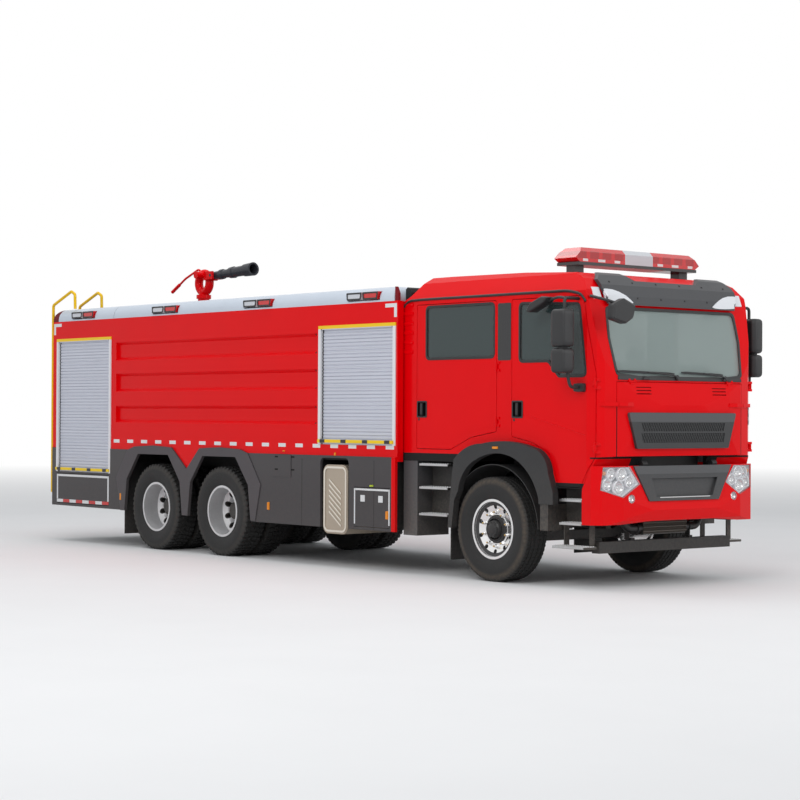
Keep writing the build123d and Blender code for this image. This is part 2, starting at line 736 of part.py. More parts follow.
door_makes = (
    ("front", front_door, front_window, front_hinge),
    ("rear", rear_door, rear_window, rear_hinge),
)
handle_z = (1640, 1790)
handle_depth = 28
sill_x = (540, 900 + cab_wall + 1)
sill_top_z = 1400 + cab_wall + 1
for door_name, outline, window, layout in door_makes:
    near = side_plane(cab_half_width + 20)
    with BuildPart() as door_right:
        add(cab_outer.part)
        add(cab_inner.part, mode=Mode.SUBTRACT)
        grown(outline, -panel_gap, door_corner, near, -door_reach, Mode.INTERSECT)
        grown(window, 0, window_corner, near, -door_reach, Mode.SUBTRACT)
        # beside the sill the door is only as thick as the wall, so that it can swing out
        block(sill_x, (cab_wall - cab_half_width, door_reach - cab_half_width),
              (sill_top_z - 600, sill_top_z), mode=Mode.SUBTRACT)
        # handle recess at the rear edge with a bar across it
        x = outline[0][0] + panel_gap + 12
        face_y = -cab_half_width
        block((x, x + 135), (face_y - 5, face_y + handle_depth), handle_z, mode=Mode.SUBTRACT)
        block((x + 45, x + 85), (face_y - 8, face_y + 14), handle_z)
        door_knuckles(-1, layout)
    save(door_right, f"{door_name}_door_right")
    with BuildPart() as door_left:
        mirror(door_right.part, about=Plane.XZ)
    save(door_left, f"{door_name}_door_left")
    with BuildPart() as glass_right:
        add(pane_outer.part)
        add(pane_inner.part, mode=Mode.SUBTRACT)
        grown(window, -glass_gap, window_corner, near, -door_reach, Mode.INTERSECT)
    save(glass_right, f"{door_name}_glass_right")
    with BuildPart() as glass_left:
        mirror(glass_right.part, about=Plane.XZ)
    save(glass_left, f"{door_name}_glass_left")

# Sun visor: a curved blade over the windscreen, held under the roof's front edge
with BuildPart() as sun_visor:
    blade = (
        (1290, 2862), (1330, 2720), (1352, 2715), (1345, 2800), (1300, 2905), (1205, 3005),
        (1120, 3045), (1100, 3040), (1190, 2976),
    )
    prism(side_plane(960), [(x + 6, z + 6) for x, z in blade], -1920)
    ends = ((-960, 2880), (-905, 2720), (905, 2720), (960, 2880), (960, 3060), (-960, 3060))
    prism(front_plane(1000), ends, 500, mode=Mode.INTERSECT)
    hump = ((-960, 2700), (960, 2700), (960, 2960), (860, 3035), (560, 3035), (440, 2965),
            (-440, 2965), (-560, 3035), (-860, 3035), (-960, 2960))
    prism(front_plane(1000), hump, 500, mode=Mode.INTERSECT)
    for y in (-620, 620):
        block((1130, 1170), (y - 30, y + 30), (2950, 3030))
    add(cab_outer.part, mode=Mode.SUBTRACT)
save(sun_visor, "sun_visor")

# Light bar: two feet on the roof, a base tray and the long lens with raked ends
bar_x = 746
bar_half = 890
bar_bottom_z = 3125
bar_top_z = 3300
bar_depth = 300
bar_foot_y = 750
with BuildPart() as light_bar:
    block((bar_x - bar_depth / 2, bar_x + bar_depth / 2), (-bar_half + 40, bar_half - 40),
          (bar_bottom_z, bar_bottom_z + 30))
    for side_name, side in sides:
        block((bar_x - 60, bar_x + 60), (side * (bar_foot_y - 60), side * (bar_foot_y + 60)),
              (3000, bar_bottom_z))
    add(cab_outer.part, mode=Mode.SUBTRACT)
    low = bar_bottom_z + 30 + seat_gap
    lens = (
        (-bar_half + 60, low), (bar_half - 60, low), (bar_half, low + 40),
        (bar_half - 110, bar_top_z), (-bar_half + 110, bar_top_z), (-bar_half, low + 40),
    )
    prism(front_plane(bar_x - bar_depth / 2), lens, bar_depth)
    lens_edges = light_bar.edges().filter_by(Axis.Y).group_by(Axis.Z)[-1]
    chamfer(lens_edges, length=45)
save(light_bar, "light_bar")

# Bumper: a deep apron with round corners, its top open for lamps and the centre panel
bumper_top_z = 1180
bumper_bottom_z = 620
bumper_crease_z = 753

def bumper_plan(inset):
    half = (
        (bumper_back - 20, cab_half_width + 10 - inset),
        (1370 - inset * 0.4, cab_half_width + 10 - inset),
        (1440 - inset * 0.8, 1070 - inset * 0.8),
        (1500 - inset, 840 - inset * 0.4),
        (bumper_front - inset, 450),
    )
    return half + tuple((x, -y) for x, y in reversed(half))


headlamp = ((618, 1005), (835, 875), (1085, 950), (1062, 1172), (752, 1172))
insert_outline = ((-703, 1178), (703, 1178), (500, 839), (-500, 839))
plate_recess = ((-473, 1058), (473, 1058), (400, 880), (-400, 880))
with BuildPart() as bumper:
    prism(top_plane(bumper_bottom_z), bumper_plan(0), bumper_top_z - bumper_bottom_z)
    apron = (
        (1240, bumper_bottom_z - 10), (1440, bumper_bottom_z - 10),
        (1495, 655), (bumper_front, bumper_crease_z), (bumper_front - 25, 850),
        (bumper_front - 45, bumper_top_z), (1372, bumper_top_z), (1252, 960),
    )
    prism(side_plane(cab_half_width + 40), apron, -2 * cab_half_width - 80, mode=Mode.INTERSECT)
    prism(top_plane(bumper_bottom_z - 10), bumper_plan(bumper_wall), 700, mode=Mode.SUBTRACT)
    for side_name, side in sides:
        lamp = [(side * y, z) for y, z in headlamp]
        prism(front_plane(1300), lamp, 300, mode=Mode.SUBTRACT)
        with BuildSketch(front_plane(1400)) as fog:
            with Locations((side * 735, 865)):
                Circle(42)
        extrude(to_extrude=fog.sketch, amount=200, mode=Mode.SUBTRACT)
    prism(front_plane(1300), insert_outline, 300, mode=Mode.SUBTRACT)
save(bumper, "bumper")

with BuildPart() as bumper_insert:
    inner = [(y * 0.996, z) for y, z in insert_outline]
    prism(front_plane(1440), inner, 95)
    prism(top_plane(700), bumper_plan(8), 600, mode=Mode.INTERSECT)
    prism(front_plane(1490), plate_recess, 100, mode=Mode.SUBTRACT)
save(bumper_insert, "bumper_insert")

# Front underrun bar on two brackets from the rail ends
underrun_half = 940
tow_pin_radius = 18
with BuildPart() as underrun_bars:
    block((1180, 1280), (-underrun_half, underrun_half), (340, 450))
    for side_name, side in sides:
        block((rail_front - 60, rail_front), (side * (rail_out_y + seat_gap), side * (rail_out_y + 12)),
              (450, 860))
        block((rail_front - 60, rail_front + 30), (side * (rail_out_y - 40), side * (rail_out_y + 12)),
              (450, 470))
    add(engine_block.part, mode=Mode.SUBTRACT)
    # rear beam across the rail ends, with the tow pin's jaw in the middle
    block((-8520, -8430), (-1180, 1180), (460, 570))
    for side_name, side in sides:
        block((-8520, rail_rear - seat_gap), (side * (rail_in_y), side * rail_out_y), (570, 860))
    block((-8520, -8400), (-rail_in_y, rail_in_y), (700, 860))
    block((-8562, -8520), (-90, 90), (720, 860))
    rod((-8535, 0, 700), (-8535, 0, 880), tow_pin_radius, mode=Mode.SUBTRACT)
save(underrun_bars, "underrun_bars")

# Wheel arch trim of the cab: a band round the front wheel, proud of the side
arch_trim_out = 1215
trim_foot_z = 800


def arch_trim_face():
    """Outline of the band: arcs over the wheel, straight legs."""
    Polyline((924, trim_foot_z), (924, 915), (856, 1100))
    ThreePointArc((856, 1100), (785, 1262), (620, 1345))
    ThreePointArc((620, 1345), (250, 1400), (-100, 1372))
    ThreePointArc((-100, 1372), (-350, 1318), (-512, 1208))
    Polyline((-512, 1208), (-540, 1032), (-600, 514), (-540, 514), (-500, 800), (-444, 892))
    ThreePointArc((-444, 892), (-330, 1114), (-169, 1215))
    ThreePointArc((-169, 1215), (102, 1280), (350, 1245))
    ThreePointArc((350, 1245), (575, 1100), (723, 856))
    Polyline((723, 856), (730, trim_foot_z), (924, trim_foot_z))


# Cab entrance: step wells ahead of and behind the front wheel, with the grey fairing
step_depth = 190
with BuildPart() as cab_steps:
    for side_name, side in sides:
        out = side * (cab_half_width - 5)
        back = side * (cab_half_width - step_depth)
        # columns: x from, x to, z of the back plate's top, z of each tread
        for x_from, x_to, top, treads in (
            (930, 1235, 960 - seat_gap, (853, 629)),
            (-1140, -690, cab_bottom_z - seat_gap, (1150, 910, 635)),
        ):
            block((x_from, x_to), (back - side * 20, back), (treads[-1] - 20, top))
            for z in treads:
                block((x_from, x_to), (back, out), (z - 22, z))
        # the lowest front tread on two hangers, with the box in front of the wheel guard's foot
        for x in (870, 1215):
            block((x, x + 15), (back, back + side * 60), (403, 629))
        block((837, 1263), (back, out), (382, 403))
        block((845, 930), (back - side * 20, back), (609, 940))
        prism(side_plane(-side * (arch_trim_out - 15)), (
            (735, 547), (845, 547), (845, 799), (735, 799),
        ), side * 250)
        # fairing behind the rear steps
        block((-1387, -1166), (side * 700, out), (400, 1180 - seat_gap))
save(cab_steps, "cab_steps")

# Mirrors on the front doors: arms from a foot at the belt line, tall two-part housing
mirror_out = 1440
with BuildPart() as mirror_right:
    y_in = -cab_half_width - seat_gap
    tube_path(((1190, y_in, 2770), (1190, -1330, 2770), (1190, -1330, 2600)), 40, 16)
    tube_path(((1230, y_in, 1925), (1230, -1290, 1925), (1200, -1330, 2140)), 40, 16)
    housing = ((1085, -mirror_out + 30), (1105, -1280), (1265, -1280), (1305, -1320),
               (1290, -mirror_out), (1135, -mirror_out))
    for low, high in ((2060, 2290), (2305, 2660)):
        rounded_prism(top_plane(low), housing, 25, high - low)
    rounded_prism(top_plane(2280), [(x * 0.5 + 600, y) for x, y in housing], 5, 40)
    block((1160, 1290), (y_in, -cab_half_width - 45), (1880, 1965))
    # wide kerb mirror ahead of the housing's top, on an arm of its own
    tube_path(((1180, -1310, 2770), (1050, -1270, 2785), (900, -1260, 2760)), 40, 14)
    kerb = ((640, 2655), (700, 2650), (900, 2735), (960, 2790), (860, 2800), (700, 2740))
    prism(side_plane(1330), kerb, -130)
save(mirror_right, "mirror_right")
with BuildPart() as mirror_left:
    mirror(mirror_right.part, about=Plane.XZ)
save(mirror_left, "mirror_left")

# Close-view mirrors fixed to the cab: one over the right front corner, one over the door
with BuildPart() as cab_mirror:
    tube_path(((1313, -1080, 2790), (1350, -1150, 2790), (1560, -1130, 2740),
               (1610, -1000, 2700)), 50, 14)
    face = ((-1150, 2560), (-1135, 2700), (-990, 2762), (-830, 2700), (-865, 2580), (-970, 2520))
    rounded_prism(front_plane(1575), face, 28, front_reach - 1575)
    rim = cab_mirror.faces().filter_by(Axis.X).sort_by(Axis.X)[-1].edges()
    chamfer(rim, length=18)
    add(cab_outer.part, mode=Mode.SUBTRACT)
save(cab_mirror, "cab_mirror")

# Seats on the cab floor: two in front, a bench behind
with BuildPart() as cab_interior:
    # columns: x of the cushion's back, y from, y to, z of the floor under it
    for x, y_from, y_to in ((150, -980, -520), (150, 520, 980), (-1250, -960, 960)):
        length = 480
        floor_z = 1400 + cab_wall + seat_gap if x > 0 else cab_bottom_z + 60 + seat_gap
        if x < 0:
            floor_z = tunnel_top_z + cab_wall + seat_gap
        block((x, x + length), (y_from, y_to), (floor_z, floor_z + 300))
        prism(side_plane(-y_from), ((x, floor_z + 200), (x + 120, floor_z + 200),
                                    (x + 60, floor_z + 900), (x - 50, floor_z + 900)),
              -(y_to - y_from))
    # dashboard with the steering column and wheel on the left
    firewall_x = cab_front - cab_wall - firewall - seat_gap
    board = ((1000, 1800), (firewall_x, 1762), (firewall_x - 28, 1960), (1250, 2000), (1060, 1990),
             (990, 1900))
    prism(side_plane(950), board, -1900)
    rod((1050, 750, 1880), (860, 750, 1990), 35)
    ring = Plane(origin=(ahead(860), 750, 1990), z_dir=(-0.55, 0, 0.83))
    with BuildSketch(ring) as wheel:
        Circle(235)
        Circle(205, mode=Mode.SUBTRACT)
        Rectangle(420, 40)
        Rectangle(40, 420)
    extrude(to_extrude=wheel.sketch, amount=15, both=True)
save(cab_interior, "cab_interior")

# Rear wheel arches of the tank body
arch_half_foot = 590
arch_half_top = 335
arch_foot_z = 845
arch_top_z = 1160
flange_proud = 10
notch_x = bogie_middle + 28
notch_z = 996            # tip of the red notch between the arches


def arch(axle, foot_z):
    """Faceted arch over a rear axle."""
    return (
        (axle - arch_half_foot - 70, foot_z),
        (axle - arch_half_foot, arch_foot_z),
        (axle - arch_half_top, arch_top_z),
        (axle + arch_half_top, arch_top_z),
        (axle + arch_half_foot, arch_foot_z),
        (axle + arch_half_foot + 70, foot_z),
    )


def flange(grow=0):
    """Outline of the proud flange round both arches, with the notch between them."""
    front, rear = rear_axle_xs
    g = grow
    return (
        (rear - 730 - g, 452), (rear - 830 - g, 857), (rear - 580 - g, 1205), (rear - 420 - g, 1250 + g),
        (rear, 1268 + g), (rear + 400 + g, 1250 + g), (notch_x, notch_z + g),
        (front - 400 - g, 1250 + g), (front, 1268 + g), (front + 420 + g, 1250 + g),
        (front + 580 + g, 1205), (front + 830 + g, 857), (front + 730 + g, 440),
    )


# Tank body: the red superstructure over the rails, pockets for the shutters
# columns: name, x from, x to, z from, z to
shutters = (
    ("rear", -8320, -6990, 900, 2625),
    ("front", -2720, -1400, 1330, 2625),
)
rear_shutter_half = 560
shutter_depth = 45
panel_out = body_half_width - 12
# recessed bands of the tank side: z from, z to
band_x = (-6880, -2760)
bands = ((2320, 2550), (1930, 2157), (1545, 1753))
band_depth = 35
wheel_room_z = 1165
rear_shutter_z = (wheel_room_z + 35, 2625)
post_in = cab_half_width + 20
# lockers: x from, x to
locker_ranges = ((body_rear, -6700), (-3800, -2700), (-2140, -1460))
locker_in = 500
skirt_thickness = 30
locker_out = body_half_width - skirt_thickness - seat_gap
# hatches that fold down as steps: name, x from, x to, z from, z to
hatches = (
    ("rear", -8290, -7020, 490, 880),
    ("front", -2076, -1480, 460, 885),
)
hatch_pocket = 260
hatch_axis_out = body_half_width - 7
hatch_axis_up = 13       # of the pins above the opening's lower edge
hatch_pin_reach = 14
with BuildPart() as body_shell:
    block((body_rear, body_face), (-panel_out, panel_out), (wheel_room_z, body_top_z))
    for side_name, side in sides:
        block((body_face, body_front), (side * post_in, side * panel_out),
              (wheel_room_z, body_top_z))
        cheek = ((body_face + 20, body_top_z - 1), (body_front, body_top_z - 1),
                 (body_front, body_top_z + 80), (body_front - 35, coving_top_z - 10),
                 (body_face + 20, coving_top_z - 10))
        prism(side_plane(-side * (panel_out - 4)), cheek, side * 30)
        # the grey skirt stands over the red side's lower edge
        block((body_rear - 1, body_front + 1), (side * locker_out, side * (panel_out + 1)),
              (wheel_room_z - 1, body_red_z + seat_gap), mode=Mode.SUBTRACT)
        prism(side_plane(-side * (panel_out + 1)), flange(seat_gap),
              side * (panel_out + 1 - locker_out), mode=Mode.SUBTRACT)
        # the red wedge that fills the notch
        front, rear = rear_axle_xs
        wedge = ((rear + 404, 1249), (notch_x, notch_z + 1), (front - 404, 1249))
        prism(side_plane(-side * panel_out), wedge, side * (panel_out - 1190))
        for name, x_from, x_to, z_from, z_to in shutters:
            block((x_from, x_to), (side * (panel_out - shutter_depth), side * (panel_out + 1)),
                  (z_from, z_to), mode=Mode.SUBTRACT)
        for low, high in bands:
            slope = band_depth
            groove = (
                (side * (panel_out + 1), low), (side * (panel_out + 1), high),
                (side * (panel_out - band_depth), high - slope),
                (side * (panel_out - band_depth), low + slope),
            )
            prism(front_plane(band_x[0]), groove, band_x[1] - band_x[0], mode=Mode.SUBTRACT)
    block((body_rear - 1, body_rear + shutter_depth), (-rear_shutter_half, rear_shutter_half),
          (rear_shutter_z[0], rear_shutter_z[1]), mode=Mode.SUBTRACT)
save(body_shell, "body_shell")

# Subframe on the rails and the lockers beside it, open towards the fold-down hatches
with BuildPart() as subframe:
    block((body_rear + 20, gearbox_rear - 30), (-rail_out_y - 20, rail_out_y + 20),
          (rail_top_z + seat_gap, wheel_room_z - seat_gap))
    for side_name, side in sides:
        for x_from, x_to in locker_ranges:
            block((x_from, x_to), (side * locker_in, side * locker_out),
                  (skirt_bottom_z + 30, wheel_room_z - seat_gap))
        for name, x_from, x_to, z_from, z_to in hatches:
            block((x_from, x_to), (side * (locker_out - hatch_pocket), side * (locker_out + 1)),
                  (z_from, z_to), mode=Mode.SUBTRACT)
        for name, x_from, x_to, z_from, z_to in shutters:
            block((x_from, x_to), (side * (panel_out - shutter_depth), side * (panel_out + 1)),
                  (z_from, z_to), mode=Mode.SUBTRACT)
save(subframe, "subframe")

# Grey skirts with the two faceted wheel arches and their proud flanges


skirt_front = body_front - 20
skirt_rear = body_rear + 5
with BuildPart() as skirts:
    for side_name, side in sides:
        face = side_plane(-side * body_half_width)
        outline = (
            (skirt_rear, 460), (rear_axle_xs[1] - 620, 455), (rear_axle_xs[0] + 730, skirt_bottom_z),
            (skirt_front, skirt_bottom_z), (skirt_front, body_red_z), (skirt_rear, body_red_z),
        )
        prism(face, outline, side * skirt_thickness)
        proud = side_plane(-side * (body_half_width + flange_proud))
        prism(proud, flange(), side * (skirt_thickness + flange_proud))
        front, rear = rear_axle_xs
        notch = ((rear + 399, 1251), (notch_x, notch_z), (front - 399, 1251))
        outside = side_plane(-side * (body_half_width + flange_proud + 1))
        prism(outside, notch, side * (skirt_thickness + flange_proud + 2), mode=Mode.SUBTRACT)
        for axle in rear_axle_xs:
            prism(outside, arch(axle, 300), side * (skirt_thickness + flange_proud + 2),
                  mode=Mode.SUBTRACT)
        # shutter, hatches and the opening for the exhaust or the fuel tank
        for name, x_from, x_to, z_from, z_to in shutters:
            block((x_from, x_to), (side * 1200, side * 1300), (z_from, z_to), mode=Mode.SUBTRACT)
        for name, x_from, x_to, z_from, z_to in hatches:
            block((x_from, x_to), (side * 1200, side * 1300), (z_from, z_to), mode=Mode.SUBTRACT)
            axis = (side * hatch_axis_out, z_from + hatch_axis_up)
            rod((x_from - hatch_pin_reach, *axis), (x_to + hatch_pin_reach, *axis),
                hinge_pin_radius + bearing_gap, mode=Mode.SUBTRACT)
        rounded_prism(side_plane(-side * 1300), ((-2670, 300), (-2670, 1185), (-2170, 1185),
                                                 (-2170, 300)), 60, side * 100, mode=Mode.SUBTRACT)
        # small flap with a raised edge
        block((-3540, -3200), (side * body_half_width, side * (body_half_width + 6)), (957, 1205))
save(skirts, "skirts")

# Hatches that fold down as steps, hinged along their lower edge
for name, x_from, x_to, z_from, z_to in hatches:
    with BuildPart() as hatch_right:
        block((x_from + panel_gap, x_to - panel_gap), (-body_half_width, -body_half_width + 28),
              (z_from + panel_gap, z_to - panel_gap))
        axis = (-hatch_axis_out, z_from + hatch_axis_up)
        rod((x_from - hatch_pin_reach + 1, *axis), (x_to + hatch_pin_reach - 1, *axis),
            hinge_pin_radius)
    save(hatch_right, f"{name}_hatch_right")
    with BuildPart() as hatch_left:
        mirror(hatch_right.part, about=Plane.XZ)
    save(hatch_left, f"{name}_hatch_left")

# Roller shutters: slats in two side rails, a latch bar along the foot
slat_pitch = 40
slat_depth = 7
rail_width_y = 38


def slat_wall(low, high, back, face):
    """Section of a slatted curtain as (out, z)."""
    points = [(back, low), (face - slat_depth, low)]
    z = low
    while z + slat_pitch < high:
        points += [(face, z + 8), (face, z + slat_pitch - 8), (face - slat_depth, z + slat_pitch)]
        z += slat_pitch
    return points + [(face - slat_depth, high), (back, high)]


with BuildPart() as roller_shutters:
    for side_name, side in sides:
        back = panel_out - shutter_depth + seat_gap
        for name, x_from, x_to, z_from, z_to in shutters:
            curtain = slat_wall(z_from + 60, z_to - 45, back, panel_out - 12)
            prism(front_plane(x_from + 45), [(side * y, z) for y, z in curtain],
                  x_to - x_from - 90)
            for rail_from, rail_to in ((x_from + 1, x_from + 45), (x_to - 45, x_to - 1)):
                block((rail_from, rail_to), (side * back, side * body_half_width),
                      (z_from + 1, z_to - 1))
            block((x_from + 45, x_to - 45), (side * back, side * body_half_width),
                  (z_to - 45, z_to - 1))
            block((x_from + 45, x_to - 45), (side * back, side * (panel_out - 4)),
                  (z_from + 1, z_from + 60))
            bar_y = (side * (panel_out - 4), side * (body_half_width + 22))
            block((x_from + 20, x_to - 20), bar_y, (z_from + 20, z_from + 55))
    back = -body_rear - shutter_depth + seat_gap
    z_from, z_to = rear_shutter_z
    curtain = [(-out, z) for out, z in slat_wall(z_from + 60, z_to - 45, back, -body_rear - 12)]
    prism(side_plane(rear_shutter_half - 45), curtain, -2 * rear_shutter_half + 90)
    for side_name, side in sides:
        block((body_rear, -back), (side * (rear_shutter_half - 45), side * (rear_shutter_half - 1)),
              (z_from + 1, z_to - 1))
    block((body_rear, -back), (-rear_shutter_half + 45, rear_shutter_half - 45), (z_to - 45, z_to - 1))
    block((body_rear - 20, -back), (-rear_shutter_half + 45, rear_shutter_half - 45),
          (z_from + 1, z_from + 60))
save(roller_shutters, "roller_shutters")

# Roof: rounded coving all round a low deck
roof_front = body_front - 60
deck_z = 2900
lamp_length = 550
lamp_z = (2868, 2962)
lamp_xs = (-7665, -5770, -3855, -1945)
lamp_out = body_half_width + 6
lamp_in = body_half_width - 90
with BuildPart() as roof_coving:
    block((body_rear, roof_front), (-panel_out, panel_out),
          (body_top_z + seat_gap, coving_top_z))
    top_edges = roof_coving.edges().group_by(Axis.Z)[-1]
    fillet(top_edges, radius=coving_radius - 12)
    block((body_rear + 240, roof_front - 230), (-body_half_width + 240, body_half_width - 240),
          (deck_z, coving_top_z + 1), mode=Mode.SUBTRACT)
    for side_name, side in sides:
        for x in lamp_xs:
            block((x - lamp_length / 2, x + lamp_length / 2), (side * lamp_in, side * (lamp_out + 1)),
                  lamp_z, mode=Mode.SUBTRACT)
save(roof_coving, "roof_coving")

# Lamps of the tank body: pairs along the roof edge, tail lamps by the rear bumper
with BuildPart() as lamps:
    for side_name, side in sides:
        lamp = [(side * y, z) for y, z in headlamp]
        with BuildSketch(front_plane(1362)) as body:
            with BuildLine():
                Polyline(*lamp, close=True)
            make_face()
            offset(amount=-seat_gap, kind=Kind.INTERSECTION, mode=Mode.REPLACE)
        extrude(to_extrude=body.sketch, amount=180)
    prism(top_plane(800), bumper_plan(10), 400, mode=Mode.INTERSECT)
    prism(top_plane(800), bumper_plan(bumper_wall + 50), 400, mode=Mode.SUBTRACT)
    for side_name, side in sides:
        with BuildSketch(front_plane(1440)) as fog:
            with Locations((side * 735, 865)):
                Circle(42 - seat_gap)
        extrude(to_extrude=fog.sketch, amount=68)
    for side_name, side in sides:
        for x in lamp_xs:
            for shift in (-lamp_length / 4, lamp_length / 4):
                half = lamp_length / 4 - 12
                face = (
                    (x + shift - half, lamp_z[0] + 12), (x + shift + half - 18, lamp_z[0] + 12),
                    (x + shift + half, lamp_z[1] - seat_gap), (x + shift - half - 8, lamp_z[1] - seat_gap),
                )
                prism(side_plane(-side * lamp_out), face, side * (lamp_out - lamp_in - seat_gap))
        for z in (700, 850, 1000):
            block((body_rear - 36, body_rear - seat_gap), (side * 1030, side * 1170), (z, z + 130))
save(lamps, "lamps")

# Ladder on the right of the rear face, with hoop rails over the roof edge
ladder_ys = (-1200, -800)
ladder_x = body_rear - 75
ladder_foot_z = 620
with BuildPart() as ladder:
    for y in ladder_ys:
        rod((ladder_x, y, ladder_foot_z), (ladder_x, y, 2960), 20)
        for z in (900, 1900, 2700):
            rod((ladder_x, y, z), (body_rear - seat_gap, y, z), 14)
    rung_z = ladder_foot_z + 60
    while rung_z < 2950:
        rod((ladder_x, ladder_ys[0], rung_z), (ladder_x, ladder_ys[1], rung_z), 15)
        rung_z += 290
    for y in ladder_ys:
        tube_path(((ladder_x, y, 2950), (ladder_x, y, 3075), (-8040, y, 3240), (-7950, y, 3200),
                   (-7942, y, coving_top_z + seat_gap)), 40, 19)
save(ladder, "ladder")

rib_proud = 8
rib_count = 7
rib_pitch = 58
# Exhaust silencer with its ribbed end in the right skirt opening, fuel tank on the left
with BuildPart() as silencer:
    rounded_prism(side_plane(body_half_width - 20), ((-2640, 363), (-2640, 1111), (-2210, 1111),
                                                     (-2210, 363)), 90, -640)
    for x in (-2600, -2300):
        block((x, x + 50), (-620, -rail_out_y - seat_gap), (740, 940))
    # raised rim and slanted ribs on the outer end
    end = side_plane(body_half_width - 20 + rib_proud)
    with BuildSketch(end) as rim:
        with BuildLine():
            FilletPolyline((-2622, 381), (-2622, 1093), (-2228, 1093), (-2228, 381), close=True,
                           radius=75)
        make_face()
        offset(amount=-22, mode=Mode.SUBTRACT)
    extrude(to_extrude=rim.sketch, amount=-rib_proud - 1)
    for step in range(rib_count):
        z = 960 - step * rib_pitch
        rib = ((-2530, z), (-2320, z - 150), (-2320, z - 170), (-2530, z - 20))
        prism(end, rib, -rib_proud - 1)
save(silencer, "silencer")
with BuildPart() as fuel_tank:
    rounded_prism(side_plane(-body_half_width + 20), ((-2640, 430), (-2640, 1080), (-2210, 1080),
                                                      (-2210, 430)), 70, 720)
    for x in (-2600, -2300):
        block((x, x + 50), (rail_out_y + seat_gap, 540), (740, 940))
save(fuel_tank, "fuel_tank")

# Roof monitor: fixed base pipe, swivelling body, barrel that lifts
monitor_x = -6760
monitor_pivot_z = 3430
monitor_pin_radius = 20
with BuildPart() as monitor_base:
    rod((monitor_x, 0, deck_z + seat_gap), (monitor_x, 0, deck_z + 20), 150)
    rod((monitor_x, 0, deck_z + 20), (monitor_x, 0, 3140), 75)
save(monitor_base, "monitor_base")
monitor_pivot_x = monitor_x + 260
with BuildPart() as monitor_body:
    rod((monitor_x, 0, 3140 + bearing_gap), (monitor_x, 0, 3190), 95)
    rod((monitor_x, 0, 3190), (monitor_x, 0, 3240), 60)
    with Locations(Plane(origin=(ahead(monitor_x + 10), 0, 3345), z_dir=(0, 1, 0))):
        Torus(120, 55)
    block((monitor_x + 120, monitor_x + 190), (-84, 84), (3370, 3440))
    # lever that swivels it, and the gear case of the lift
    tube_path(((monitor_x - 60, 0, 3420), (monitor_x - 80, 0, 3540), (monitor_x - 420, 0, 3420),
               (monitor_x - 720, 0, 3262)), 60, 14)
    rod((monitor_x - 560, 0, 3346), (monitor_x - 730, 0, 3257), 22)
    rod((monitor_x + 30, -150, 3440), (monitor_x + 30, -20, 3440), 46)
    for side_name, side in sides:
        block((monitor_x + 120, monitor_pivot_x + 50), (side * 62, side * 84),
              (3380, monitor_pivot_z + 50))
    rod((monitor_pivot_x, -90, monitor_pivot_z), (monitor_pivot_x, 90, monitor_pivot_z),
        monitor_pin_radius + bearing_gap, mode=Mode.SUBTRACT)
save(monitor_body, "monitor_body")
with BuildPart() as monitor_barrel:
    rod((monitor_pivot_x, -61.7, monitor_pivot_z), (monitor_pivot_x, 61.7, monitor_pivot_z), 40)
    rod((monitor_pivot_x, -88, monitor_pivot_z), (monitor_pivot_x, 88, monitor_pivot_z),
        monitor_pin_radius)
    muzzle = (monitor_pivot_x + 830, 0, monitor_pivot_z + 40)
    # neck, grip ring, tapering barrel and the flared muzzle with its bore: (along, radius)
    spun((monitor_pivot_x, 0, monitor_pivot_z), muzzle, (
        (0, 0), (0, 50), (120, 50), (130, 64), (180, 64), (190, 52), (330, 56), (345, 70), (420, 74),
        (440, 64), (640, 66), (660, 78), (831, 84), (831, 62), (560, 40), (200, 40), (200, 0),
    ))
save(monitor_barrel, "monitor_barrel")

# Things on the deck: manhole lids, a low dome, the air intake between cab and body
with BuildPart() as deck_fittings:
    for x in (-7400, -5000, -3200):
        rod((x, 0, deck_z + seat_gap), (x, 0, deck_z + 130), 260)
    with Locations((ahead(-7700), -400, deck_z + seat_gap)):
        Cone(160, 90, 150, align=(Align.CENTER, Align.CENTER, Align.MIN))
    # walkway boards on the deck
    for x_from, x_to in ((-6300, -5500), (-4500, -3700)):
        block((x_from, x_to), (-300, 300), (deck_z + seat_gap, deck_z + 40))
    # air intake cap over the gap between cab and body, on the right of the cab's rear slope
    cap = ((-1428, 2860), (-1335, 2860), (-1335, 2940), (-1360, 2985), (-1400, 2997), (-1428, 2975))
    prism(side_plane(1085), cap, -190)
    add(cab_outer.part, mode=Mode.SUBTRACT)
save(deck_fittings, "deck_fittings")

# Black guards over the wheels and flaps behind them
liner_radius = 640
with BuildPart() as wheel_guards:
    for side_name, side in sides:
        with BuildSketch(side_plane(-side * arch_trim_out)) as trim:
            with BuildLine():
                arch_trim_face()
            make_face()
        extrude(to_extrude=trim.sketch, amount=side * (arch_trim_out - cab_half_width - seat_gap))
        # flaps: one behind the front wheel under the liner, one behind the rearmost wheels
        block((-liner_radius - 8, -liner_radius), (side * 640, side * 1130), (180, 580))
        flap_x = locker_ranges[0][1] + seat_gap
        block((flap_x, flap_x + 10), (side * 620, side * 1215), (160, 1050))
    for side_name, side in sides:
        middle = Plane(origin=(ahead(0), side * (cab_half_width - seat_gap), axle_z),
                       x_dir=(1, 0, 0), z_dir=(0, -1, 0))
        with BuildSketch(middle) as band:
            Circle(liner_radius + 8)
            Circle(liner_radius, mode=Mode.SUBTRACT)
            with Locations((0, -liner_radius)):
                Rectangle(3 * liner_radius, 2 * liner_radius + 60, mode=Mode.SUBTRACT)
        extrude(to_extrude=band.sketch, amount=side * 520)
save(wheel_guards, "wheel_guards")
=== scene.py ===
from math import cos, pi, radians, sin, tan

import bmesh
import bpy
from mathutils import Matrix, Vector


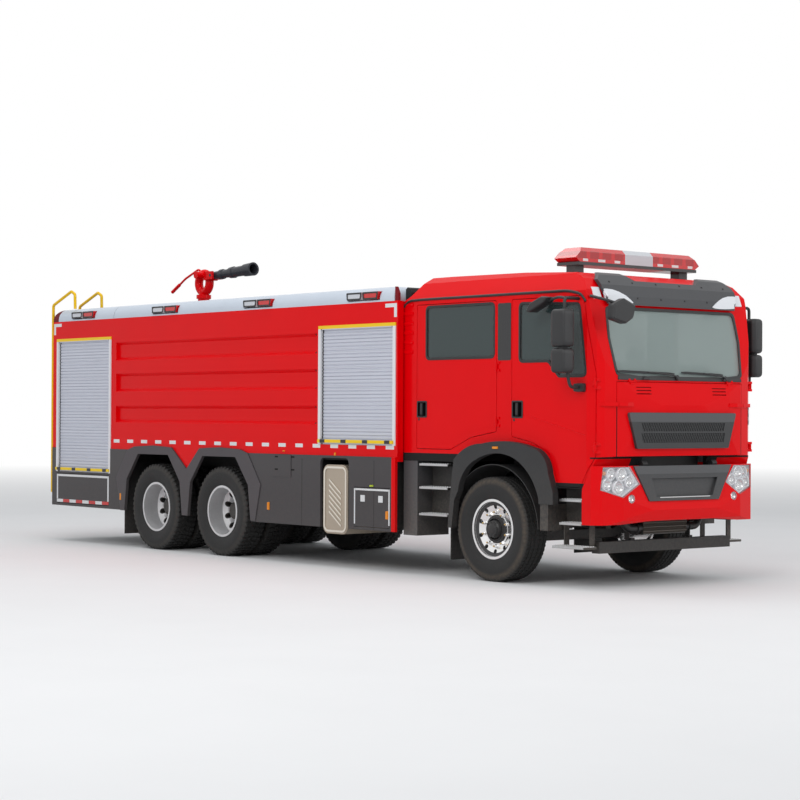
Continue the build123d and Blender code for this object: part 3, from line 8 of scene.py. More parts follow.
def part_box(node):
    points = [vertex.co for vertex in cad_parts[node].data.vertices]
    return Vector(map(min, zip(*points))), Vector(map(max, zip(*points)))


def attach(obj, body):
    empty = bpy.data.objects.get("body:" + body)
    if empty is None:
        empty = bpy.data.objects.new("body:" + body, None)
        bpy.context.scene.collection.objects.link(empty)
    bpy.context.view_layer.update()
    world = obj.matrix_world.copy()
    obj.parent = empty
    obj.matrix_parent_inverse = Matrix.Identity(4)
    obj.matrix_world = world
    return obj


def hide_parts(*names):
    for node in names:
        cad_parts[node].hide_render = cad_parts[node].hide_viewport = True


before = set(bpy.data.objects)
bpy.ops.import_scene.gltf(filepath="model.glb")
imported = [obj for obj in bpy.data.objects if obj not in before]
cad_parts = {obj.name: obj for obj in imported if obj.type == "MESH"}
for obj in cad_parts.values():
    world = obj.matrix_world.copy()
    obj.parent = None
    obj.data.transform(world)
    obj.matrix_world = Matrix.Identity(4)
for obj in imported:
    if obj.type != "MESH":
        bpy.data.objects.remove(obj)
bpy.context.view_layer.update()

# Places along the truck are measured from the front axle, forward is positive
wheel_low, wheel_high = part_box("front_tyre_right")
axle_x = (wheel_low[0] + wheel_high[0]) / 2
axle_z = (wheel_low[2] + wheel_high[2]) / 2
tyre_radius = wheel_high[2] - axle_z
rear_axle_xs = (-4.6, -6.0)
tyre_half_width = 0.1495
bead_radius = 0.289
nut_seat_y = 1.088
cab_side_y = 1.14
body_side_y = 1.25
panel_y = 1.238
rear_face_x = -8.42
front_strip_x = -1.455
roof_lamp_xs = (-7.665, -5.77, -3.855, -1.945)
shutter_spans = ((-8.33, -6.98), (-2.73, -1.39))
shutter_rail_width = 0.056
handle_xs = {"front": 0.279, "rear": -1.161}
handle_width = 0.135
bumper_top_half_width = 0.62
tape_thickness = 0.0012
sides = (("right", -1), ("left", 1))

paint_red = (0.8, 0.0, 0.003)
trim_black = (0.012, 0.012, 0.013)
deep_black = (0.01, 0.01, 0.01)
# Plain black, also used for painted shade below the cab's lower edge
black_and_painted_shade = (0.02, 0.02, 0.02)
road_dust = (0.17, 0.14, 0.11)
dust_low_z, dust_high_z = 0.25, 1.3


def maths(operation, swapped=False):
    """A method of Level that adds one Math node."""
    def method(self, *others):
        values = (*others, self) if swapped else (self, *others)
        node = self.finish.node("ShaderNodeMath", {"operation": operation}, dict(enumerate(values)))
        return Level(self.finish, node.outputs[0])
    return method


class Level:
    """A number that varies over a finish; arithmetic on it adds the maths nodes."""

    def __init__(self, finish, socket):
        self.finish = finish
        self.socket = socket

    __add__ = maths("ADD")
    __radd__ = maths("ADD", True)
    __sub__ = maths("SUBTRACT")
    __rsub__ = maths("SUBTRACT", True)
    __mul__ = maths("MULTIPLY")
    __rmul__ = maths("MULTIPLY", True)
    __truediv__ = maths("DIVIDE")
    __mod__ = maths("FLOORED_MODULO")
    __pow__ = maths("POWER")
    __gt__ = maths("GREATER_THAN")
    __lt__ = maths("LESS_THAN")
    __abs__ = maths("ABSOLUTE")
    top = maths("MAXIMUM")
    least = maths("MINIMUM")
    turn_over = maths("ARCTAN2")

    def within(self, low, high):
        """1 between two values, 0 outside."""
        return (self > low) * (self < high)

    def bands(self, *spans):
        """1 inside any of the (low, high) spans, 0 outside."""
        return sum(self.within(low, high) for low, high in spans)

    def ramp(self, low, high):
        """Rises from 0 at low to 1 at high."""
        return ((self - low) / (high - low)).top(0).least(1)


class Finish:
    """A paint, rubber, metal, plastic or cloth for the truck's pieces."""

    def __init__(self, name, colour, roughness, **fixed):
        self.material = bpy.data.materials.new(name)
        self.material.use_nodes = True
        self.material.diffuse_color = (*colour, 1)
        self.tree = self.material.node_tree
        self.tree.nodes.clear()
        self.shader = self.node("ShaderNodeBsdfPrincipled")
        self.set(Base_Color=(*colour, 1), Roughness=roughness, **fixed)
        self.output = self.node("ShaderNodeOutputMaterial", {}, {"Surface": self.shader.outputs[0]})
        self.place = self.node("ShaderNodeTexCoord").outputs["Object"]
        split = self.node("ShaderNodeSeparateXYZ", {}, {"Vector": self.place})
        self.x = Level(self, split.outputs["X"]) - axle_x
        self.y = Level(self, split.outputs["Y"])
        self.z = Level(self, split.outputs["Z"])
        self.out = abs(self.y)

    def feed(self, socket, value):
        """Links a level or a socket, or sets a fixed value."""
        if isinstance(value, Level):
            value = value.socket
        if isinstance(value, bpy.types.NodeSocket):
            self.tree.links.new(value, socket)
        else:
            socket.default_value = value

    def node(self, kind, settings=None, inputs=None):
        """One node: its settings first, then the values or links of its sockets."""
        node = self.tree.nodes.new(kind)
        for name, value in (settings or {}).items():
            setattr(node, name, value)
        for name, value in (inputs or {}).items():
            self.feed(node.inputs[name], value)
        return node

    def set(self, **values):
        """Feed the shader's own sockets."""
        for name, value in values.items():
            self.feed(self.shader.inputs[name.replace("_", " ")], value)
        return self

    def noise(self, scale, detail=3.0, stretch=(1, 1, 1)):
        """Soft random variation about 0.5."""
        place = self.node("ShaderNodeMapping", {}, {"Vector": self.place, "Scale": stretch}).outputs[0]
        node = self.node("ShaderNodeTexNoise", {}, {
            "Vector": place, "Scale": scale, "Detail": detail, "Roughness": 0.55})
        return Level(self, node.outputs["Fac"])

    def cells(self, scale):
        """Distance to the nearest of scattered points."""
        node = self.node("ShaderNodeTexVoronoi", {}, {"Vector": self.place, "Scale": scale})
        return Level(self, node.outputs["Distance"])

    def rays(self, *kinds):
        """1 for the named kinds of rays, such as Is Camera Ray."""
        path = self.node("ShaderNodeLightPath")
        return sum((Level(self, path.outputs[kind]) for kind in kinds), 0).least(1)

    def blend(self, share, first, second):
        """A mix of two shaders."""
        return self.node("ShaderNodeMixShader", {}, {0: share, 1: first, 2: second}).outputs[0]

    def mix(self, mask, first, second):
        """First colour where the mask is 0, second where it is 1."""
        first, second = ((*c, 1) if isinstance(c, tuple) else c for c in (first, second))
        return self.node("ShaderNodeMix", {"data_type": "RGBA"}, {0: mask, 6: first, 7: second}).outputs[2]

    def zoned(self, zones, skin, *levels):
        """Lays zones of (mask maker, colour, levels) over the colour and the levels."""
        for mask_of, colour, *covers in zones:
            mask = mask_of(self)
            skin = self.mix(mask, skin, colour)
            levels = [under * (1 - mask) + mask * over for under, over in zip(levels, covers)]
        return skin, *levels

    def bump(self, height, depth, strength):
        """Raise the surface by depth metres where the height is 1."""
        node = self.node("ShaderNodeBump", {}, {
            "Height": height, "Distance": depth, "Strength": strength})
        return self.set(Normal=node.outputs[0])


def dusty(finish, colour, amount):
    """The colour with slight unevenness, and dust that gathers towards the road."""
    varied = finish.mix(finish.noise(2.3, 5) * 0.08, colour, (0, 0, 0))
    low = 1 - finish.z.ramp(dust_low_z, dust_high_z)
    speck = finish.noise(38, 6).ramp(0.35, 0.75)
    return finish.mix((low * (0.3 + speck) * amount).least(1), varied, road_dust)


def vehicle_paint(name, colour, zones=(), roughness=0.3, coat=0.1, dust=0.06):
    """Sprayed gloss paint with a clear coat. zones are (mask maker, colour, roughness, coat)."""
    finish = Finish(name, colour, roughness, Coat_Roughness=0.05, Specular_IOR_Level=0.07)
    rough = finish.noise(1.7, 4) * 0.1 + (roughness - 0.05)
    skin, rough, shine = finish.zoned(zones, colour, rough, coat)
    finish.set(Base_Color=dusty(finish, skin, dust), Roughness=rough, Coat_Weight=shine)
    return finish.bump(finish.noise(420, 2) * 0.6 + finish.noise(7, 2) * 0.4, 0.00025, 0.35)


def plastic(name, colour, roughness=0.5, grain=300, zones=(), dust=0.1):
    """Moulded plastic or dull paint with a fine grain. zones are (mask maker, colour, roughness)."""
    finish = Finish(name, colour, roughness)
    rough = finish.noise(4, 4) * 0.16 + (roughness - 0.08)
    skin, rough = finish.zoned(zones, colour, rough)
    finish.set(Base_Color=dusty(finish, skin, dust), Roughness=rough)
    return finish.bump(1 - finish.cells(grain), 0.0002, 0.5)


def metal(name, colour, roughness=0.35, brushed=(1, 1, 1), zones=(), dust=0.05, metallic=1.0):
    """Bare or plated metal, its fine lines along brushed. zones are (mask maker, colour,
    roughness, metallic)."""
    finish = Finish(name, colour, roughness)
    lines = finish.noise(160, 3, brushed)
    rough = lines * 0.16 + (roughness - 0.08) + finish.noise(3, 4) * 0.08
    skin, rough, bare = finish.zoned(zones, colour, rough, metallic)
    finish.set(Base_Color=dusty(finish, skin, dust), Roughness=rough, Metallic=bare)
    return finish.bump(lines, 0.0002, 0.4)


def cab_inside(f):
    """The lined inner faces of the cab's walls, doors and roof."""
    ahead = f.x + (f.z - 2.03).top(0) * 0.2 < 1.36
    return (f.out < 1.105) * f.z.within(1.2, 2.84) * (f.x > -1.37) * ahead


def cab_under_shade(f):
    """Painted shade, black below the cab's lower edge; the faces beside the bumper's top stay red."""
    beside = (f.x > 1.33) * (f.out > bumper_top_half_width) * (f.z < 1.246)
    return (f.z < 1.262 - 0.25 * f.x.within(0.7, 1.33)) * (1 - beside)


def bumper_ledge(f):
    """The black top of the bumper under the lid."""
    return (f.z > 1.174) * (f.out < bumper_top_half_width)


def handle_box(f):
    """Black recess at the rear edge of each door."""
    recesses = f.x.bands(*((x - 0.017, x + handle_width + 0.006) for x in handle_xs.values()))
    return recesses * f.z.within(1.634, 1.796) * (f.out > 1.09)


def louvre_slot_shade(f):
    """Painted shade in the three thin cuts a side above the grille."""
    return f.z.bands((1.925, 1.935), (1.895, 1.905), (1.863, 1.873)) * f.out.within(0.44, 0.645)


def under_grille(f):
    """The pocket behind the grille and the lid's lower edge."""
    return (f.x < 1.46) * (f.z < 1.74)


def under_body(f):
    """Black below the tank body, except the wedge over the rear wheels and the front strip."""
    wedge = (f.out > 1.19) * f.x.within(-5.72, -4.82)
    return (f.z < 1.166) * (1 - wedge) * (f.x < front_strip_x)


def front_strip(f):
    """The red strip down the front edge of the tank body."""
    return f.x > front_strip_x


def skirt_flange(f):
    """Proud faces round the rear wheels, a little paler than the skirts."""
    return (f.out > 1.254) * f.x.within(-6.9, -3.7)


def slot_shade_and_seams(f):
    """Painted shade in small cut slots of the skirt's fixed cover, and the dark seams between its sheets.
    """
    slots = f.z.bands((1.03, 1.048), (1.172, 1.19)) * f.x.bands((-3.5, -3.44), (-3.2, -3.14))
    seams = f.x.bands((-3.004, -2.998), (-1.745, -1.739)) * (f.z < 1.17)
    return (slots + seams).least(1) * (f.out > 1.22)


def shutter_pocket_shade(f):
    """Painted shade on the inner walls of the lockers; the body's front and rear faces stay red."""
    return (f.out < 1.23) * f.z.within(0.9, 2.7) * f.x.bands((-8.395, -6.9), (-2.8, -1.415))


def cheek_plate(f):
    """The darker plate above the body's sides."""
    return f.z > 2.853


red_cab = vehicle_paint("red_paint_cab", paint_red, (
    (cab_inside, (0.12, 0.12, 0.125), 0.7, 0), (cab_under_shade, black_and_painted_shade, 0.6, 0),
    (handle_box, trim_black, 0.35, 0)))
red_lid = vehicle_paint("red_paint_lid", paint_red, (
    (louvre_slot_shade, (0.2, 0.0, 0.001), 0.5, 0), (under_grille, black_and_painted_shade, 0.6, 0)))
red_body = vehicle_paint("red_paint_body", paint_red, (
    (under_body, black_and_painted_shade, 0.7, 0), (shutter_pocket_shade, (0.03, 0.03, 0.03), 0.7, 0),
    (cheek_plate, (0.2, 0.012, 0.018), 0.35, 0)))
red_fittings = vehicle_paint("red_paint_fittings", paint_red)
red_bumper = vehicle_paint("red_paint_bumper", paint_red, (
    (bumper_ledge, (0.012, 0.012, 0.012), 0.6, 0),))
skirt_paint = vehicle_paint("skirt_grey_paint", (0.064, 0.059, 0.062), (
    (skirt_flange, (0.1, 0.092, 0.098), 0.34, 0), (slot_shade_and_seams, deep_black, 0.6, 0),
    (front_strip, paint_red, 0.3, 0)), 0.36, 0.3, 0.12)
coving_paint = vehicle_paint("roof_coving_paint", (0.6, 0.66, 0.74), (
    (lambda f: f.x < -8.29, (0.16, 0.012, 0.02), 0.4, 0),
    (lambda f: (f.z < 2.94) * (f.out < 1.02), (0.3, 0.31, 0.33), 0.6, 0),
    (lambda f: f.x.within(-6.943, -6.937), (0.1, 0.11, 0.13), 0.6, 0)), 0.4, 0.25, 0.04)
deck_plate = vehicle_paint("deck_fitting_paint", (0.32, 0.34, 0.37), (
    (lambda f: f.x > -1.6, (0.035, 0.036, 0.038), 0.5, 0),), 0.45, dust=0.1)
yellow_paint = vehicle_paint("yellow_rail_paint", (0.9, 0.55, 0.0), (), 0.34, 0.4, 0.03)
barrel_paint = vehicle_paint("barrel_grey_paint", (0.035, 0.037, 0.045), (), 0.4, 0.3, 0.1)
gloss_black = vehicle_paint("gloss_black_panel", (0.012, 0.012, 0.014), (), 0.12, 0.9, 0.02)
amber_lens = vehicle_paint("amber_lens", (0.85, 0.27, 0.01), (), 0.12, 0.6, 0.05)
clear_lens = vehicle_paint("clear_lens", (0.8, 0.82, 0.85), (), 0.1, 0.7, 0)
red_lens = vehicle_paint("red_lens", (0.55, 0.01, 0.012), (), 0.12, 0.6, 0.03)
latch_paint = vehicle_paint("latch_green_paint", (0.55, 0.68, 0.05), (), 0.4, 0.2, 0.05)

frame_paint = plastic("chassis_black", trim_black, 0.6, dust=0.16)
casting = plastic("casting_paint", (0.03, 0.03, 0.032), grain=160, dust=0.3)
black_plastic = plastic("black_trim_plastic", (0.015, 0.0155, 0.017), grain=900)
guard_plastic = plastic("wheel_guard_plastic", (0.018, 0.0185, 0.02), 0.6, 700, dust=0.18)
visor_plastic = plastic("visor_plastic", (0.045, 0.047, 0.052), 0.42, 800, (
    (lambda f: (f.z < 2.76) * (f.x < 1.335), deep_black, 0.6),), 0.3)
grille_plastic = plastic("grille_plastic", (0.03, 0.031, 0.033), 0.5, 700, (
    (lambda f: f.z > 1.6, (0.075, 0.077, 0.082), 0.42),), 0.3)
insert_plastic = plastic("bumper_insert_plastic", (0.042, 0.044, 0.048), 0.5, 700, (
    (lambda f: f.z > 1.1, (0.075, 0.078, 0.083), 0.45),
    (lambda f: f.x < 1.475, (0.07, 0.066, 0.06), 0.5)), 0.3)
step_metal = plastic("step_well_black", (0.02, 0.02, 0.021), 0.6, 300, (
    (lambda f: f.x < -1.16, (0.06, 0.061, 0.066), 0.45),), 0.5)
hub_black = plastic("hub_black", trim_black, 0.45, dust=0.05)
dash_plastic = plastic("dashboard_plastic", (0.045, 0.046, 0.048), 0.6, 500, dust=0)
cooler_paint = plastic("cooler_paint", (0.1, 0.085, 0.07), 0.55, dust=0.2)
white_tape = plastic("white_reflective_tape", (0.76, 0.77, 0.78), 0.35, 1400, dust=0.08)
red_tape = plastic("red_reflective_tape", (0.6, 0.02, 0.02), 0.35, 1400, dust=0.08)
seal_rubber = plastic("window_rubber", trim_black, grain=600)

spring_paint = metal("spring_leaf_steel", (0.07, 0.068, 0.066), 0.5, (8, 1, 60), (), 0.7, 0.5)
stainless = metal("silencer_sheet", (0.46, 0.39, 0.31), 0.42, (1, 1, 12), (
    (lambda f: f.out > 1.234, (0.8, 0.75, 0.66), 0.36, 0.5),), 0.1, 0.5)
tank_metal = metal("tank_sheet", (0.5, 0.5, 0.5), 0.4, (1, 1, 10), dust=0.4)
chrome = metal("chrome_plate", (0.8, 0.8, 0.8), 0.1)
bright_alloy = metal("tread_alloy", (0.55, 0.56, 0.57), 0.32, (1, 14, 1), dust=0.3)
bowl_silver = metal("lamp_silver", (0.95, 0.96, 0.98), 0.25, dust=0, metallic=0.1)
brass = metal("brass_nut", (0.62, 0.42, 0.16), 0.3)


def pane_zones(finish):
    """Painted reflection: a pale windscreen and darker side windows, one glass lit and shaded."""
    side_panes = finish.out > 1.0
    colour = finish.mix(side_panes, (0.36, 0.44, 0.42), (0.045, 0.068, 0.068))
    return finish.set(Base_Color=colour, Roughness=finish.noise(5, 3) * 0.01 + 0.02,
                      Alpha=0.5 + side_panes * 0.2)


def lamp_zones(finish):
    """Clear and red roof lamps, clear headlamps, red tail lamps."""
    clear, red, amber = (0.62, 0.64, 0.68), (0.62, 0.01, 0.012), (0.85, 0.26, 0.01)
    roof = finish.z > 2.8
    tail = finish.x < -8.4
    head = (finish.x > 0) * (1 - roof)
    red_roof = roof * finish.x.bands(*((x, x + 0.3) for x in roof_lamp_xs))
    lens = finish.mix(red_roof.least(1), clear, red)
    lens = finish.mix(tail * (finish.z < 0.84), lens, red)
    lens = finish.mix(tail * finish.z.within(0.84, 0.99), lens, amber)
    ribs = ((finish.x * 90) % 1.0) * roof + ((finish.y * 110) % 1.0) * tail
    finish.set(Base_Color=lens, Alpha=1 - head * 0.72, Roughness=finish.noise(9, 3) * 0.08 + 0.04)
    return finish.bump(ribs * (1 - head), 0.0012, 0.6)


def beacon_zones(finish):
    """Red lens over dark modules, a white middle, a black tray below."""
    lens = finish.z > 3.156
    middle = (finish.out < 0.2) * lens
    module = ((finish.y + 0.89) % 0.1725).within(0.025, 0.15) * lens * finish.z.within(3.19, 3.262)
    glass = finish.mix(module * 0.4, (0.62, 0.008, 0.012), (0.1, 0.004, 0.006))
    white = finish.out.bands((0.27, 0.35), (0.48, 0.58), (0.72, 0.79)) * finish.z.within(3.163, 3.188)
    glass = finish.mix(white, glass, (0.75, 0.75, 0.74))
    glass = finish.mix(middle, glass, (0.55, 0.57, 0.6))
    skin = finish.mix(lens, (0.015, 0.015, 0.016), glass)
    ribs = ((finish.y * 60) % 1.0) * lens * (1 - middle)
    finish.set(Base_Color=skin, Roughness=0.45 - lens * 0.35 + finish.noise(6, 3) * 0.05)
    return finish.bump(ribs, 0.0015, 0.5)


def slat_zones(finish):
    """Silver slats with painted shade in their grooves, white side rails with painted shadow lines beside
    them, yellow top box and grab bars.
    """
    top_box = finish.z.within(2.588, 2.65) * (finish.out > 1.21)
    rails, shadow_lines = [], []
    for rear, front in shutter_spans:
        inner_rear, inner_front = rear + shutter_rail_width, front - shutter_rail_width
        rails += [(rear, inner_rear), (inner_front, front)]
        # Painted shadow lines just inside the side rails
        shadow_lines += [(inner_rear, inner_rear + 0.022), (inner_front - 0.012, inner_front)]
    rail = finish.x.bands(*rails) * (finish.out > 1.21)
    edge = finish.x.bands(*shadow_lines) * (finish.out > 1.2)
    # Painted shade in the grooves between the slats; the same mask shapes their bump
    groove = ((finish.z * 30) % 1.0).within(0.04, 0.14)
    low_bar = finish.out > 1.2515
    skin = finish.mix(groove, (0.6, 0.62, 0.7), (0.4, 0.42, 0.48))
    for mask, colour in ((edge, (0.015, 0.015, 0.02)), (rail, (0.8, 0.8, 0.82)),
                         (top_box, (0.92, 0.6, 0.0)), (low_bar, (0.9, 0.62, 0.0))):
        skin = finish.mix(mask, skin, colour)
    painted = (rail + top_box + low_bar + edge).least(1)
    finish.set(Base_Color=dusty(finish, skin, 0.04), Metallic=(1 - painted) * 0.3,
               Roughness=0.34 + painted * 0.08 + finish.noise(60, 3, (0.2, 1, 8)) * 0.12)
    return finish.bump(finish.noise(300, 2, (0.1, 1, 4)) * 0.2 - groove, 0.0004, 0.5)


window_glass = pane_zones(Finish("tinted_glass", (0.36, 0.44, 0.42), 0.03))
lens_glass = lamp_zones(Finish("lamp_lens", (0.75, 0.77, 0.8), 0.08, IOR=1.5))
beacon_lens = beacon_zones(Finish("beacon_lens", (0.62, 0.01, 0.012), 0.1, Coat_Weight=0.5))
slat_metal = slat_zones(Finish("shutter_slats", (0.56, 0.58, 0.62), 0.35))


def wheel_radius(f):
    """Distance from the nearest axle."""
    lift = f.z - axle_z
    front, *rear = (((f.x - x) ** 2 + lift * lift) ** 0.5 for x in (0, *rear_axle_xs))
    return front.least(rear[0]).least(rear[1])


def hand_hole_shade(f):
    """Painted shade: dark rings round the ten holes of a rear wheel disc."""
    turn = sum((abs(f.x - x) < 0.4) * (f.z - axle_z).turn_over(f.x - x) for x in rear_axle_xs)
    radius = wheel_radius(f)
    along = ((turn * (5 / pi) + 10) % 1.0 - 0.5) * (pi / 5) * radius
    across = radius - 0.222
    return ((along * along + across * across) ** 0.5 < 0.034) * (f.out < 1.2)


front_rim_metal = metal("polished_rim", (0.85, 0.85, 0.85), 0.2, zones=(
    (lambda f: wheel_radius(f) < 0.115, (0.014, 0.014, 0.015), 0.45, 0.2),
    # Painted shadow: a dark ring between the rim's lip and its disc
    (lambda f: wheel_radius(f).within(0.236, 0.2745) * (f.out < 1.138), (0.05, 0.05, 0.052), 0.6, 0.3)),
    dust=0.04)
rear_rim_metal = metal("silver_rim_paint", (0.66, 0.66, 0.67), 0.38, zones=(
    (lambda f: wheel_radius(f) < 0.12, (0.06, 0.058, 0.055), 0.5, 0.5),
    (hand_hole_shade, deep_black, 0.6, 0.1)), dust=0.12, metallic=0.6)


def tyre_rubber(name, dust):
    """Black rubber with moulded rings on its sides and dust on its shoulders."""
    finish = Finish(name, (0.022, 0.022, 0.022), 0.75)
    radius = wheel_radius(finish)
    tread = radius.ramp(0.486, 0.5)
    speck = finish.noise(30, 5).ramp(0.3, 0.7)
    side = finish.mix(speck * 0.35, (0.012, 0.012, 0.0125), (0.03, 0.028, 0.026))
    shoulder = radius.ramp(0.44, 0.47) * (1 - radius.ramp(0.5, 0.52))
    skin = finish.mix(shoulder * (speck * 0.5 + 0.25), side, dust)
    finish.set(Base_Color=finish.mix(tread * 0.5, skin, (0.018, 0.0175, 0.017)),
               Roughness=0.72 + speck * 0.12)
    rings = ((radius * 62) % 1.0) * (1 - tread)
    return finish.bump(rings + finish.noise(260, 3) * 0.4, 0.002, 0.6)


def cloth(name, colour):
    """Woven seat cloth."""
    finish = Finish(name, colour, 0.85, Sheen_Weight=0.25)
    warp = ((finish.x * 420) % 1.0) + ((finish.y * 420) % 1.0)
    finish.set(Base_Color=finish.mix(finish.noise(12, 4), colour, tuple(c * 1.5 for c in colour)))
    return finish.bump(warp * 0.5 + finish.noise(600, 2) * 0.5, 0.0006, 0.7)


front_rubber = tyre_rubber("front_tyre_rubber", (0.1, 0.078, 0.058))
rear_rubber = tyre_rubber("rear_tyre_rubber", (0.05, 0.044, 0.038))
seat_cloth = cloth("seat_cloth", (0.035, 0.037, 0.045))


def both(*names):
    """The names of nodes that stand on the right and on the left."""
    return tuple(f"{name}_{side_name}" for name in names for side_name, _ in sides)


cad_finishes = {
    red_cab: ("cab_shell", *both("front_door", "rear_door")),
    red_lid: ("front_lid",),
    red_body: ("body_shell",),
    red_fittings: ("monitor_base", "monitor_body"),
    red_bumper: ("bumper",),
    skirt_paint: ("skirts", *both("rear_hatch", "front_hatch")),
    coving_paint: ("roof_coving",),
    deck_plate: ("deck_fittings",),
    frame_paint: ("chassis_frame", "underrun_bars", "subframe"),
    casting: ("engine_block", "front_axle", *both("knuckle"), "track_rod", "rear_axles"),
    spring_paint: ("leaf_springs",),
    black_plastic: (*both("mirror"), "cab_mirror", "cab_interior"),
    guard_plastic: ("wheel_guards",),
    visor_plastic: ("sun_visor",),
    grille_plastic: ("grille",),
    insert_plastic: ("bumper_insert",),
    window_glass: ("windscreen", *both("front_glass", "rear_glass")),
    lens_glass: ("lamps",),
    beacon_lens: ("light_bar",),
    slat_metal: ("roller_shutters",),
    yellow_paint: ("ladder",),
    stainless: ("silencer",),
    tank_metal: ("fuel_tank",),
    barrel_paint: ("monitor_barrel",),
    step_metal: ("cab_steps",),
    front_rim_metal: both("front_rim"),
    rear_rim_metal: both("rear_rims_1", "rear_rims_2"),
    front_rubber: both("front_tyre"),
    rear_rubber: both("rear_tyres_1", "rear_tyres_2"),
}
for finish, names in cad_finishes.items():
    for name in names:
        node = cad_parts[name]
        if not node.material_slots:
            node.data.materials.append(None)
        for held in node.material_slots:
            held.material = finish.material


def bend(before, corner, after, reach, steps=5):
    """Points of a soft corner between the ways back and on, each at most a reach long."""
    reach = min(reach, before.length * 0.45, after.length * 0.45)
    first = corner + before.normalized() * reach
    last = corner + after.normalized() * reach
    shares = [k / steps for k in range(steps + 1)]
    return [first * (1 - t) ** 2 + corner * (2 * t * (1 - t)) + last * t ** 2 for t in shares]


def rounded(points, radius, steps=5):
    """A closed outline with its corners rounded."""
    soft = []
    for i, corner in enumerate(points):
        corner = Vector(corner)
        before = Vector(points[i - 1]) - corner
        after = Vector(points[(i + 1) % len(points)]) - corner
        soft += bend(before, corner, after, radius / tan(before.angle(after) / 2), steps)
    return soft


def widened(points, amount):
    """A closed outline moved outwards on every side."""
    area = sum(a[0] * b[1] - b[0] * a[1] for a, b in zip(points, points[1:] + points[:1]))
    turn = 1 if area > 0 else -1
    moved = []
    for i, corner in enumerate(points):
        corner = Vector(corner)
        back = (corner - Vector(points[i - 1])).normalized()
        on = (Vector(points[(i + 1) % len(points)]) - corner).normalized()
        first = Vector((back.y, -back.x)) * turn
        second = Vector((on.y, -on.x)) * turn
        moved.append(tuple(corner + (first + second) * (amount / (1 + first.dot(second)))))
    return moved


def about(middle, half):
    """A span of (low, high) round a middle."""
    return middle - half, middle + half


def oblong(first, second, radius=0.0, steps=5):
    """A rectangle's outline from its two spans, with soft corners."""
    corners = [(first[0], second[0]), (first[1], second[0]), (first[1], second[1]), (first[0], second[1])]
    return rounded(corners, radius, steps) if radius else corners


def disc(first, second, radius):
    """A round outline about a middle."""
    return [(first + cos(k * pi / 12) * radius, second + sin(k * pi / 12) * radius) for k in range(24)]


def circle(middle, across, over, radius, steps):
    """A ring of points about a middle, in the plane of two directions."""
    turns = [2 * pi * k / steps for k in range(steps)]
    return [middle + (across * cos(turn) + over * sin(turn)) * radius for turn in turns]


def depths(side, face, low, high):
    """Two places across the truck, measured outwards from a face of that side."""
    return side * (face + low), side * (face + high)


def laid(points, axis, at):
    """An outline at a place along x (y, z), y (x, z) or z (x, y)."""
    place = {"x": lambda a, b: (at, a, b), "y": lambda a, b: (a, at, b), "z": lambda a, b: (a, b, at)}
    return [place[axis](a, b) for a, b in points]


def linked(name, data):
    """A new object of the scene."""
    thing = bpy.data.objects.new(name, data)
    bpy.context.scene.collection.objects.link(thing)
    return thing


class Form:
    """Faces gathered for one piece; x is measured forward from the front axle."""

    def __init__(self):
        self.mesh = bmesh.new()

    def skin(self, rings, closed=True):
        """Joins rings of equally many points, with a cap at each end or end to end."""
        loops = [[self.mesh.verts.new((axle_x + x, y, z)) for x, y, z in ring] for ring in rings]
        pairs = list(zip(loops, loops[1:]))
        if not closed:
            pairs.append((loops[-1], loops[0]))
        for near, far in pairs:
            for i in range(len(near)):
                j = (i + 1) % len(near)
                self.mesh.faces.new((near[i], near[j], far[j], far[i]))
        if closed:
            self.mesh.faces.new(loops[0])
            self.mesh.faces.new(loops[-1])
        return self

    def prism(self, outline, axis, low, high, grow=0.0):
        """An outline pushed from low to high along an axis."""
        end = widened(outline, grow) if grow else outline
        return self.skin([laid(outline, axis, low), laid(end, axis, high)])

    def slab(self, x, y, z):
        """A block from its three spans."""
        return self.prism(oblong(x, z), "y", *y)

    def rim(self, outer, inner, axis, low, high):
        """A flat frame between two outlines of equally many points."""
        rings = ((outer, low), (outer, high), (inner, high), (inner, low))
        return self.skin([laid(points, axis, at) for points, at in rings], False)

    def spun(self, foot, way, outline, steps=24, closed=True):
        """A turned form: rings of (along, radius) from a foot on its axis."""
        along = Vector(way).normalized()
        across = along.orthogonal().normalized()
        over = along.cross(across)
        return self.skin([circle(Vector(foot) + along * at, across, over, radius, steps)
                          for at, radius in outline], closed)

    def rod(self, start, end, radius):
        """A round bar with softened ends."""
        way = Vector(end) - Vector(start)
        edge = 0.0015
        return self.spun(start, way, ((0, radius - edge), (edge, radius), (way.length - edge, radius),
                                      (way.length, radius - edge)), 14)

    def tube(self, path, radius, corner=0.03, steps=10):
        """A round bar along a path with soft corners."""
        points = [Vector(point) for point in path]
        line = [points[0]]
        for before, at, after in zip(points, points[1:], points[2:]):
            line += bend(before - at, at, after - at, corner)
        line.append(points[-1])
        across = (line[1] - line[0]).normalized().orthogonal().normalized()
        rings = []
        for i, point in enumerate(line):
            ahead = (line[min(i + 1, len(line) - 1)] - line[max(i - 1, 0)]).normalized()
            across = (across - ahead * across.dot(ahead)).normalized()
            rings.append(circle(point, across, ahead.cross(across), radius, steps))
        return self.skin(rings)

    def ended(self, name):
        """Ends the form: an object of the scene."""
        bmesh.ops.recalc_face_normals(self.mesh, faces=self.mesh.faces)
        data = bpy.data.meshes.new(name)
        self.mesh.to_mesh(data)
        self.mesh.free()
        return linked(name, data)

    def piece(self, name, finish, body="truck", bevel=0.0015, angle=38):
        """Ends the form: a smooth-shaded piece that rides a body."""
        piece = self.ended(name)
        piece.data.shade_smooth()
        piece.data.set_sharp_from_angle(angle=radians(angle))
        piece.data.materials.append(finish.material)
        if bevel:
            edge = piece.modifiers.new("edge", "BEVEL")
            edge.width, edge.segments, edge.limit_method = bevel, 2, "ANGLE"
            edge.angle_limit = radians(40)
            edge.harden_normals = True
        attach(piece, body)
        return piece


